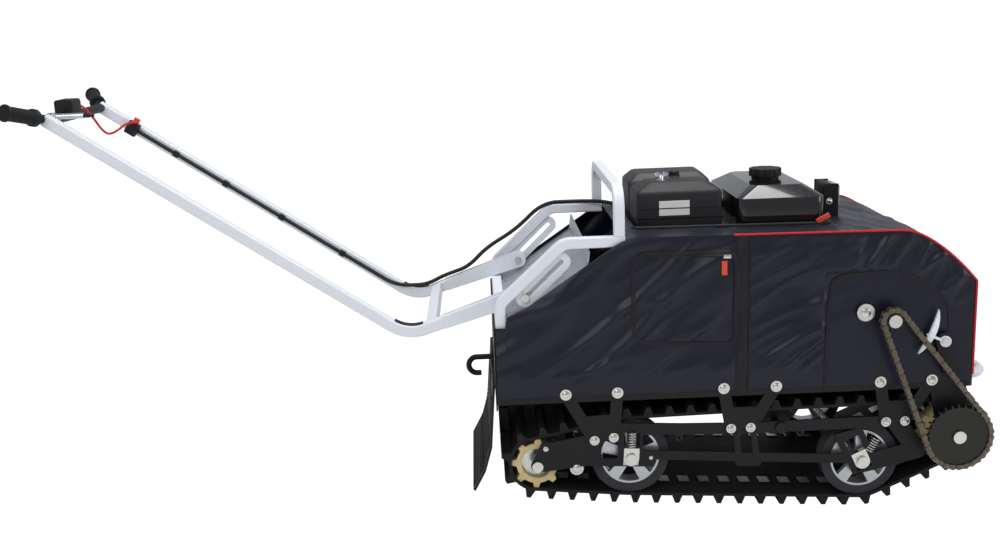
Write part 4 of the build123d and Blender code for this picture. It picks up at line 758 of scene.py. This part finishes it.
def makeCoverBand():
    # Band over the top and down the nose, with the opening for the engine cut out of the grid
    openRear, openFront, openSide = cover["opening"]
    line = outlineLine(cover["bandStart"])
    mesh = bmesh.new()
    alongSteps, across = band["grid"]
    bmesh.ops.create_grid(mesh, x_segments=alongSteps, y_segments=across, size=0.5)
    stations = [lineStation(line, index / alongSteps) for index in range(alongSteps + 1)]
    rimHeight, rimReach = band["rim"]
    for vertex in mesh.verts:
        spot, outward = stations[round((vertex.co.x + 0.5) * alongSteps)]
        if outward.z < -0.2 or (abs(outward.z) < 0.2 and outward.x < 0):
            outward = -outward
        y = vertex.co.y * 2 * cover["bandHalfWidth"]
        if abs(abs(y) - openSide) < cover["bandHalfWidth"] / across:
            y = math.copysign(openSide, y)
        x = spot.x
        onTop = spot.z > band["topAbove"]
        if onTop:
            for edge in (openRear, openFront):
                if abs(x - edge) < band["snap"]:
                    x = edge
        stand = bandStand(x, y, spot.z, cover["bandHalfWidth"] - abs(y))
        nearOpening = max(openRear - x, x - openFront, abs(y) - openSide)
        if onTop and x < band["frontFade"][1]:
            stand += rimHeight * (1 - smoothStep(nearOpening, 0, rimReach))
        vertex.co = Vector((x, y, spot.z)) + outward * stand
    hole = [
        face
        for face in mesh.faces
        if openRear < face.calc_center_median().x < openFront
        and abs(face.calc_center_median().y) < openSide
    ]
    bmesh.ops.delete(mesh, geom=hole, context="FACES")
    return mesh


for name, side, replaced in (("coverRight", -1, ("cover_sides",)), ("coverLeft", 1, ())):
    sheet = makeCoverSide(side)
    faceOutward(sheet, lambda spot: Vector((0, side, 0)))
    piece = clothSheet(name, sheet)
    if replaced:
        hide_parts(*replaced)
bandSheet = makeCoverBand()
bandMiddle, bandLow = band["middle"]
faceOutward(bandSheet, lambda spot: spot - Vector((bandMiddle, spot.y, bandLow)))
bandCover = clothSheet("coverBand", bandSheet)
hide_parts("cover_top", "cover_nose")
print("stage: cover cloth made")

# Tapes, seams and piping sewn on the cover
sewn = {
    "pocket": ((319, 144), (558, 129), (558, 350), (319, 350)),
    "pocketCorner": 34.0, "pocketTape": 11.0, "placketMiddle": 572.0, "placketWidth": 32.0,
    "patchLine": (
        (767, 6), (770, 203), (779, 272), (807, 283), (958, 288), (1052, 206), (1055, 144),
    ),
    "patchTape": (60, 7, 10.0, 2.0), "pocketStep": 6, "pocketHeight": 2.4,
    "placketEnds": (7.0, 384.0), "placketStep": 7, "placketHeight": 1.2, "stitchShare": 0.44,
    "stitchTape": (3.4, 2.3), "hemEnds": (6.0, 8), "hemRise": 11.0, "hemStep": 8,
    "hemTape": (12.0, 1.1),
    "tapeSection": ((-1.0, None), (-0.88, 1), (0, 1.1), (0.88, 1), (1.0, None)),
    "tapeSink": -0.4, "rim": (14, 22, 5.0, 0.0046), "pipingStart": 550.0, "pipingSide": 270.4,
    "pipingRadius": 0.0026,
}


def roundedLine(corners, radius, step, closed=False):
    # Points at even steps along straight runs whose corners are rounded
    path = []
    count = len(corners)
    for index, corner in enumerate(corners):
        here = Vector(corner)
        if not closed and index in (0, count - 1):
            path.append(here)
            continue
        before = Vector(corners[index - 1])
        after = Vector(corners[(index + 1) % count])
        reach = min(radius, (before - here).length / 2.1, (after - here).length / 2.1)
        start = here + (before - here).normalized() * reach
        end = here + (after - here).normalized() * reach
        for share in (0.0, 0.2, 0.4, 0.6, 0.8, 1.0):
            nearer = start.lerp(here, share)
            path.append(nearer.lerp(here.lerp(end, share), share))
    if closed:
        path.append(path[0])
    even = []
    for first, second in zip(path, path[1:]):
        steps = max(1, round((second - first).length / step))
        even += [first.lerp(second, index / steps) for index in range(steps)]
    return even if closed else even + [path[-1]]


def sideTape(mesh, line, width, height, side, closed=False):
    # Flat raised tape that follows the cloth along a line
    rows = []
    for index, spot in enumerate(line):
        before = line[index - 1] if closed or index else spot
        after = line[(index + 1) % len(line)] if closed or index < len(line) - 1 else spot
        run = (after - before).normalized()
        across = Vector((-run.y, run.x)) * width / 2
        row = []
        for share, rise in sewn["tapeSection"]:
            lift = sewn["tapeSink"] if rise is None else height * rise
            place = sidePoint(spot.x + across.x * share, spot.y + across.y * share, side, lift)
            row.append(mesh.verts.new(place))
        rows.append(row)
    if closed:
        rows.append(rows[0])
    for first, second in zip(rows, rows[1:]):
        for near, far, farNext, nearNext in zip(first, first[1:], second[1:], second):
            mesh.faces.new((near, far, farNext, nearNext))


tapes = bmesh.new()
pocket = roundedLine(sewn["pocket"], sewn["pocketCorner"], sewn["pocketStep"], True)
sideTape(tapes, pocket, sewn["pocketTape"], sewn["pocketHeight"], -1, True)
corner, step, width, height = sewn["patchTape"]
sideTape(tapes, roundedLine(sewn["patchLine"], corner, step), width, height, -1)
placket = [(sewn["placketMiddle"], end) for end in sewn["placketEnds"]]
hemRear, hemFront = sewn["hemEnds"]
hem = [(hemRear, sewn["hemRise"]), (cover["length"] - hemFront, sewn["hemRise"])]
seams = [(placket, sewn["placketStep"], sewn["placketWidth"], sewn["placketHeight"])]
for edge in (-1, 1):
    stitch = [(u + edge * sewn["placketWidth"] * sewn["stitchShare"], v) for u, v in placket]
    seams.append((stitch, sewn["placketStep"], *sewn["stitchTape"]))
seams.append((hem, sewn["hemStep"], *sewn["hemTape"]))
for side in (-1, 1):
    for line, step, width, height in seams:
        sideTape(tapes, roundedLine(line, 0, step), width, height, side)
finishPiece("coverTapes", tapes, "bindingTape", "tug", bodyMatrix, 50)

zipper = {
    "line": ((330, 343), (538, 343), (551, 330), (551, 140)),
    "coil": (16, 5, 4.0, 3.0), "slider": (18, 5, 9), "sliderPlace": (532, 341, -1, 3.4),
    "tab": (13, 3.4, 34), "tabPlace": (526, 314, -1, 3.2), "topTabPlace": (778, -184, 402),
    "topTabTurn": 1.1, "edge": 1.6,
}
corner, step, width, height = zipper["coil"]
coil = bmesh.new()
sideTape(coil, roundedLine(zipper["line"], corner, step), width, height, -1)
finishPiece("pocketZip", coil, "mouldedPolypropylene", "tug", bodyMatrix, 50)
sliderPlace = moved(sidePoint(*zipper["sliderPlace"]))
slider = (zipper["slider"], sliderPlace, zipper["edge"], 2)
boxPiece("zipSlider", "polishedAluminium", [slider])
tabPlaces = (
    moved(sidePoint(*zipper["tabPlace"])),
    moved(zipper["topTabPlace"]) @ Matrix.Rotation(zipper["topTabTurn"], 4, "Y"),
)
tabs = [(zipper["tab"], place, zipper["edge"], 3) for place in tabPlaces]
boxPiece("zipPulls", "redPlastic", tabs)

for side, name in ((-1, "pipingRight"), (1, "pipingLeft")):
    line = outlineLine(sewn["pipingStart"], 16.0)
    tubeAlong(
        name, [bodyPoint(along, up, side * sewn["pipingSide"]) for along, up in line],
        sewn["pipingRadius"], "redPiping", "tug",
    )

openRear, openFront, openSide = cover["opening"]
rimCorner, rimStep, rimLift, rimRadius = sewn["rim"]
rim = roundedLine(
    ((openRear, -openSide), (openFront, -openSide), (openFront, openSide), (openRear, openSide)),
    rimCorner, rimStep, True,
)
tubeAlong(
    "openingBinding", [bodyPoint(spot.x, coverEdge(spot.x) + rimLift, spot.y) for spot in rim],
    rimRadius, "bindingTape", "tug", cyclic=True,
)
print("stage: tapes and piping made")

# Bolts and washers, whose places are in machine millimetres; a head says its radius, height
# and washer, and a plate's bolt its own radius
bolts = {
    "hangers": ((183, 163), (228, 171), (504, 197), (550, 200), (870, 218), (915, 221)),
    "plates": ((69, 139, 8), (144, 91, 14), (319, 120, 6)),
    "boardWasher": (796.9, 484.6), "hemLift": 1.0, "hemHead": (10.5, 7.0, 1.33),
    "hangerWide": 268.6, "hangerHead": (10.0, 7.0, 1.2), "plateWide": 262.5,
    "plateHead": (0.7, 1.2), "boardWide": -275.6, "boardHead": (13.0, 8.0, 1.65),
}
heads = bmesh.new()
for side in (-1, 1):
    for along in cover["boltPlaces"]:
        spot = sidePoint(along, cover["boltRise"], side, bolts["hemLift"])
        domedHead(heads, bodyPoint(spot.x, spot.z, spot.y) * 1000, side, *bolts["hemHead"])
    for x, z in bolts["hangers"]:
        domedHead(heads, Vector((x, side * bolts["hangerWide"], z)), side, *bolts["hangerHead"])
    heightShare, washer = bolts["plateHead"]
    for x, z, radius in bolts["plates"]:
        place = Vector((x, side * bolts["plateWide"], z))
        domedHead(heads, place, side, radius, radius * heightShare, washer)
finishPiece("zincBolts", heads, "zincPlate", "tug", groundMatrix, 40)
x, z = bolts["boardWasher"]
heads = bmesh.new()
domedHead(heads, Vector((x, bolts["boardWide"], z)), -1, *bolts["boardHead"])
finishPiece("boardBolt", heads, "zincPlate", "tug", groundMatrix, 40)
print("stage: bolts made")

# Roller chain: pins at even steps round the two sprockets
chain = {
    "wheels": ((1032.0, 196.0, 75.94), (854.9, 472.9, 25.686)),
    "pins": 62, "middle": -300.0, "plateRadius": 6.9, "waist": 4.6, "rollerRadius": 5.0,
    "pinRadius": 2.5, "rollerWidth": 9.4, "pinLength": 19.4, "outerPlate": (6.9, 8.6),
    "innerPlate": (4.9, 6.6),
    "endDegrees": (-70, -42, -14, 14, 42, 70),
    "roundSteps": 14,
}


def loopLine(wheels, count):
    # Even places and headings round wheels that turn the same way
    parts = []
    links = []
    for index, (x, z, radius) in enumerate(wheels):
        nextX, nextZ, nextRadius = wheels[(index + 1) % len(wheels)]
        away = math.hypot(nextX - x, nextZ - z)
        lean = math.atan2(nextZ - z, nextX - x) - math.acos((radius - nextRadius) / away)
        links.append((lean, math.sqrt(away**2 - (radius - nextRadius) ** 2)))
    for index, (x, z, radius) in enumerate(wheels):
        lean, run = links[index]
        turn = (lean - links[index - 1][0]) % (2 * math.pi)
        parts.append((radius * turn, (x, z, radius, links[index - 1][0], turn)))
        start = Vector((x + radius * math.cos(lean), z + radius * math.sin(lean)))
        parts.append((run, (start, Vector((-math.sin(lean), math.cos(lean))))))
    total = sum(length for length, _ in parts)
    places = []
    for index in range(count):
        rest = total * index / count
        for length, part in parts:
            if rest <= length:
                break
            rest -= length
        if len(part) == 5:
            x, z, radius, start, turn = part
            angle = start + rest / radius
            places.append(
                (
                    Vector((x + radius * math.cos(angle), z + radius * math.sin(angle))),
                    Vector((-math.sin(angle), math.cos(angle))),
                )
            )
        else:
            start, heading = part
            places.append((start + heading * rest, heading))
    return places


def linkPlate(mesh, start, end, low, high):
    # Waisted plate between two pins
    run = end - start
    length = run.length
    run.normalize()
    side = Vector((-run.y, run.x))
    outline = []
    for origin, way in ((end, 1), (start, -1)):
        for degrees in chain["endDegrees"]:
            angle = math.radians(degrees)
            outline.append(
                origin
                + run * way * math.cos(angle) * chain["plateRadius"]
                + side * way * math.sin(angle) * chain["plateRadius"]
            )
        outline.append(start + run * length / 2 + side * way * chain["waist"])
    low, high = sorted((low, high))
    near = [mesh.verts.new((p.x, low, p.y)) for p in outline]
    far = [mesh.verts.new((p.x, high, p.y)) for p in outline]
    mesh.faces.new(near)
    mesh.faces.new(reversed(far))
    for index in range(len(near)):
        after = (index + 1) % len(near)
        mesh.faces.new((near[after], near[index], far[index], far[after]))


places = [place for place, _ in loopLine(chain["wheels"], chain["pins"])]
plates = bmesh.new()
rollers = bmesh.new()
turnAcross = Matrix.Rotation(math.radians(90), 4, "X")
for index, place in enumerate(places):
    after = places[(index + 1) % len(places)]
    near, far = chain["innerPlate" if index % 2 else "outerPlate"]
    for side in (-1, 1):
        ends = [chain["middle"] + side * reach for reach in (near, far)]
        linkPlate(plates, place, after, *ends)
    spot = moved((place.x, chain["middle"], place.y)) @ turnAcross
    for target, radius, width in (
        (rollers, chain["rollerRadius"], chain["rollerWidth"]),
        (plates, chain["pinRadius"], chain["pinLength"]),
    ):
        roundBar(target, spot, radius, radius, width, chain["roundSteps"])
plateChain = finishPiece("chainPlates", plates, "oiledChainSteel", "tug", groundMatrix)
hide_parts("roller_chain")
finishPiece("chainRollers", rollers, "springSteel", "tug", groundMatrix)
print("stage: chain made")

# Compression springs in the axle slots
springs = {
    "places": ((272.0, 0.0), (823.0, 28.0)), "axleRise": 118.3, "span": (26.3, 63.7),
    "radius": 10.0, "wire": 2.0, "turns": 6, "wide": 262.0, "wireSteps": 8, "turnSteps": 24,
}
coils = bmesh.new()
for side in (-1, 1):
    for x, lean in springs["places"]:
        low, high = springs["span"]
        tilt = Matrix.Rotation(math.radians(lean), 4, "Y")
        base = moved((x, side * springs["wide"], springs["axleRise"])) @ tilt
        base = base @ moved((0, 0, low))
        known = set(coils.verts)
        wire = bmesh.ops.create_circle(
            coils, cap_ends=False, segments=springs["wireSteps"], radius=springs["wire"],
            matrix=moved((springs["radius"], 0, 0)) @ turnAcross,
        )
        steps = springs["turnSteps"] * springs["turns"]
        edges = list({edge for vertex in wire["verts"] for edge in vertex.link_edges})
        bmesh.ops.spin(
            coils, geom=wire["verts"] + edges, cent=(0, 0, 0), axis=(0, 0, 1),
            dvec=(0, 0, (high - low) / steps), angle=2 * math.pi * springs["turns"], steps=steps,
        )
        bmesh.ops.transform(coils, matrix=base, verts=[v for v in coils.verts if v not in known])
coilPiece = finishPiece("axleSprings", coils, "springSteel", "tug", groundMatrix, 60)
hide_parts("suspension_springs")
print("stage: springs made")

# Steel clips riveted inside the track, one to each pitch but for the hidden upper run
clips = {
    "rear": (50.83, 95.0, 59.2), "front": (1032.0, 196.0, 67.2),
    "low": ((272.0, 118.3, 90.6), (823.0, 118.3, 90.6)),
    "count": 48, "rows": (-163.0, 163.0), "size": (26.0, 34.0, 2.4), "edge": 0.8,
    "hiddenAbove": 180, "hiddenAlong": (60, 980),
}
hiddenRear, hiddenFront = clips["hiddenAlong"]
steel = bmesh.new()
for place, heading in loopLine((*clips["low"], clips["front"], clips["rear"]), clips["count"]):
    turn = Matrix.Rotation(-math.atan2(heading.y, heading.x), 4, "Y")
    if place.y > clips["hiddenAbove"] and hiddenRear < place.x < hiddenFront:
        continue
    for row in clips["rows"]:
        spot = moved((place.x, row, place.y)) @ turn
        softBox(steel, clips["size"], spot, clips["edge"], 1)
finishPiece("trackClips", steel, "springSteel", "tug", groundMatrix)

# Moulded and pressed cases: node, width of the rounded edge in millimetres, finish, body
cases = (
    ("air_cleaner", 7, "matteEnginePlastic", "tug"),
    ("muffler_cover", 6, "heatPaintedSteel", "tug"), ("fuel_tank", 9, "blackGlossEnamel", "tug"),
    ("fuel_cap", 2, "mouldedPolypropylene", "tug"),
    ("control_pod", 3, "mouldedPolypropylene", "handle"),
    ("stop_switch", 2.5, "mouldedPolypropylene", "handle"),
)
for nodeName, width, finish, body in cases:
    softened(nodeName, width, 4, finish, body)

# Trim says size, offset from the case's place, edge; profiles are (radius, height)
caseTrim = {
    "lip": ((345, 549), -152.0, 404.0),
    "lipBars": (((5, 2.4, 5), (-1, 8), 1.0), ((-20, 1.6, 3), (-0.4, 30), 0.7)),
    "sticker": ((398, 470), -152.4, (417, 452)),
    "stickerSheet": (0.8, 0.35), "wingNut": (412.0, -92.0, 494.0),
    "nutProfile": ((0, 13), (4, 13), (6, 10), (7, 0), (12, 0), (12, -1)),
    "wing": (12, 3, 12), "wingPlace": (9, 12), "wingTurn": 25, "wingEdge": 1.3,
    "knob": (452.0, -40.0, 494.0),
    "knobProfile": ((0, 14), (11, 14), (13, 12), (13, 3), (16, 0)),
    "steps": 20,
}
trim = bmesh.new()
(rear, front), wide, rise = caseTrim["lip"]
for (longer, deep, high), (out, up), edge in caseTrim["lipBars"]:
    place = moved(((rear + front) / 2, wide + out, rise + up))
    softBox(trim, (front - rear + longer, deep, high), place, edge, 2)
knobPlace = moved(caseTrim["knob"])
spunPiece(trim, caseTrim["knobProfile"], knobPlace, caseTrim["steps"])
finishPiece("airCleanerTrim", trim, "mouldedPolypropylene")
(rear, front), wide, (low, high) = caseTrim["sticker"]
thick, edge = caseTrim["stickerSheet"]
place = moved(((rear + front) / 2, wide, (low + high) / 2))
sheet = ((front - rear, thick, high - low), place, edge, 1)
boxPiece("blankSticker", "stickerFilm", [sheet])
trim = bmesh.new()
place = moved(caseTrim["wingNut"])
spunPiece(trim, caseTrim["nutProfile"], place, caseTrim["steps"])
wingOut, wingUp = caseTrim["wingPlace"]
for way in (1, -1):
    lean = Matrix.Rotation(math.radians(way * caseTrim["wingTurn"]), 4, "Y")
    wing = place @ moved((way * wingOut, 0, wingUp)) @ lean
    softBox(trim, caseTrim["wing"], wing, caseTrim["wingEdge"], 2)
finishPiece("wingNut", trim, "polishedAluminium")

# Headlight: black housing with a pale lens
lamp = {
    "rear": 812.0, "housing": 25.0, "housingEdge": 8, "lens": 15.0, "lensInset": 5, "lensEdge": 6,
    "edgeSteps": 4, "middle": (-30.0, 435.0), "size": (84.0, 62.0), "bolt": (824, 424),
    "boltReach": 3.4, "boltHead": (6.5, 5, 1.3),
}
lampY, lampZ = lamp["middle"]
wide, high = lamp["size"]
inset = lamp["lensInset"]
housingPlace = moved((lamp["rear"] + lamp["housing"] / 2, lampY, lampZ))
lensMiddle = lamp["rear"] + lamp["housing"] + (lamp["lens"] - inset) / 2
lensPlace = moved((lensMiddle, lampY, lampZ))
lensSize = (lamp["lens"] + inset, wide - inset, high - inset)
housing = ((lamp["housing"], wide, high), housingPlace, lamp["housingEdge"], lamp["edgeSteps"])
housingPiece = boxPiece("lampHousing", "mouldedPolypropylene", [housing])
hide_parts("headlight")
lens = (lensSize, lensPlace, lamp["lensEdge"], lamp["edgeSteps"])
boxPiece("lampLens", "lampLens", [lens])
bolt = bmesh.new()
boltAlong, boltUp = lamp["bolt"]
boltPlace = Vector((boltAlong, lampY - wide / 2 - lamp["boltReach"], boltUp))
domedHead(bolt, boltPlace, -1, *lamp["boltHead"])
finishPiece("lampBolt", bolt, "zincPlate")
print("stage: engine and lamp made")

# Grips: ringed rubber sleeves with an end flange and a collar
grip = {
    "end": (-1043.0, 725.0, 306.0), "root": (-988.0, 696.0, 185.0),
    "flange": (
        (0, -1.6), (12, -1.6), (18.4, -0.8), (19.5, 0.8), (19.5, 4.4), (18.6, 5.2), (16.2, 5.6),
    ),
    "rings": 17, "firstRing": 7.4, "ringStep": 4.0,
    "ring": ((15.7, 0), (16.5, 0.7), (16.5, 2.6), (15.7, 3.2)),
    "collar": ((17.2, 76.4), (19.6, 77.6), (20, 79), (20, 89.6), (19, 91.4), (16, 92), (11.2, 92)),
}
sleeves = bmesh.new()
profile = list(grip["flange"])
for ring in range(grip["rings"]):
    start = grip["firstRing"] + ring * grip["ringStep"]
    profile += [(radius, start + height) for radius, height in grip["ring"]]
profile += grip["collar"]
for side in (-1, 1):
    along, up, y = grip["end"]
    end = bodyPoint(along, up, side * y) * 1000
    along, up, y = grip["root"]
    root = bodyPoint(along, up, side * y) * 1000
    spunPiece(sleeves, profile, axisMatrix(end, root - end), 32)
gripPiece = finishPiece("ringedGrips", sleeves, "gripRubber", "handle", groundMatrix, 40)
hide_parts("grips")

adjuster = {
    "profile": ((0, 0), (4.6, 0), (4.6, 14), (3.4, 15), (3.4, 24), (0, 24)),
    "place": (-916, -175, 704), "heading": (1, 0, -0.05), "steps": 16,
}
barrel = bmesh.new()
barrelPlace = axisMatrix(Vector(adjuster["place"]), Vector(adjuster["heading"]))
spunPiece(barrel, adjuster["profile"], barrelPlace, adjuster["steps"])
finishPiece("throttleAdjuster", barrel, "mouldedPolypropylene", "handle")
print("stage: grips made")

# Cable across the folding joint, and the red lanyard
loom = {
    "radius": 0.0052,
    "route": (
        (-86.1, 230.5, 200.0), (-59.5, 239.1, 200.0), (-12.0, 286.0, 212.0), (72.0, 330.0, 230.0),
        (144.0, 397.3, 243.75), (185.7, 397.3, 243.75),
    ),
    "lanyard": (
        (-972, 718, -28), (-972, 718, -14), (-960, 696, 10), (-950, 640, 72), (-938, 636, 108),
        (-908, 664, 148), (-890.2, 656.5, 165),
    ),
    "lanyardRadius": 0.003,
}
lanyardPoints = [bodyPoint(*spot) for spot in loom["lanyard"]]
strap, strapLine = tubeAlong(
    "lanyardStrap", lanyardPoints, loom["lanyardRadius"], "redWebbing", "handle"
)
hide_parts("lanyard")

hingeCable, _ = tubeAlong(
    "hingeCableBent", [bodyPoint(*spot) for spot in loom["route"]], loom["radius"], "cableSheath",
    None,
)
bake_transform(hingeCable)
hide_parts("hinge_cable")

# Black strips round the inside of the handle's elbows: painted shade standing in for the dark slot
# there
strips = {
    "bend": (-191.9, 264.3), "from": 73.4, "to": 76.2, "start": -72.1, "sweep": -52.0, "steps": 16,
    "wide": 200.0, "halfWidth": 9.5,
}
elbows = bmesh.new()
for side in (-1, 1):
    along, up = strips["bend"]
    startAngle = math.radians(strips["start"])
    corners = []
    for radius, reach in (("from", -1), ("to", -1), ("to", 1), ("from", 1)):
        corners.append(
            elbows.verts.new(
                (
                    along + strips[radius] * math.cos(startAngle),
                    side * strips["wide"] + reach * strips["halfWidth"],
                    up + strips[radius] * math.sin(startAngle),
                )
            )
        )
    section = elbows.faces.new(corners)
    bmesh.ops.spin(
        elbows, geom=[section], cent=(along, 0, up), axis=(0, -1, 0),
        angle=math.radians(strips["sweep"]), steps=strips["steps"],
    )
# Painted shade: solid black strips where the elbow's slot is only dark
finishPiece("elbowSlotShade", elbows, "rubberAndSlotShade", "handle")

# Moulded ribs across the back of the mudflap
flap = {
    "line": ((-59.8, 236.0), (-60.7, 200.0), (-62.7, 120.0), (-76.8, 60.0), (-99.2, 14.0)),
    "halfWidth": 196.0, "pitch": 9.0, "rib": (2.4, 3.6), "bend": 30, "edge": 0.9,
}
thick, high = flap["rib"]
ribs = [
    ((thick, 2 * flap["halfWidth"], high), moved((spot.x, 0, spot.y)), flap["edge"], 2)
    for spot in roundedLine(flap["line"], flap["bend"], flap["pitch"])
]
boxPiece("flapRibs", "rubberAndSlotShade", ribs, groundMatrix)
print("stage: cords, strips and flap made")
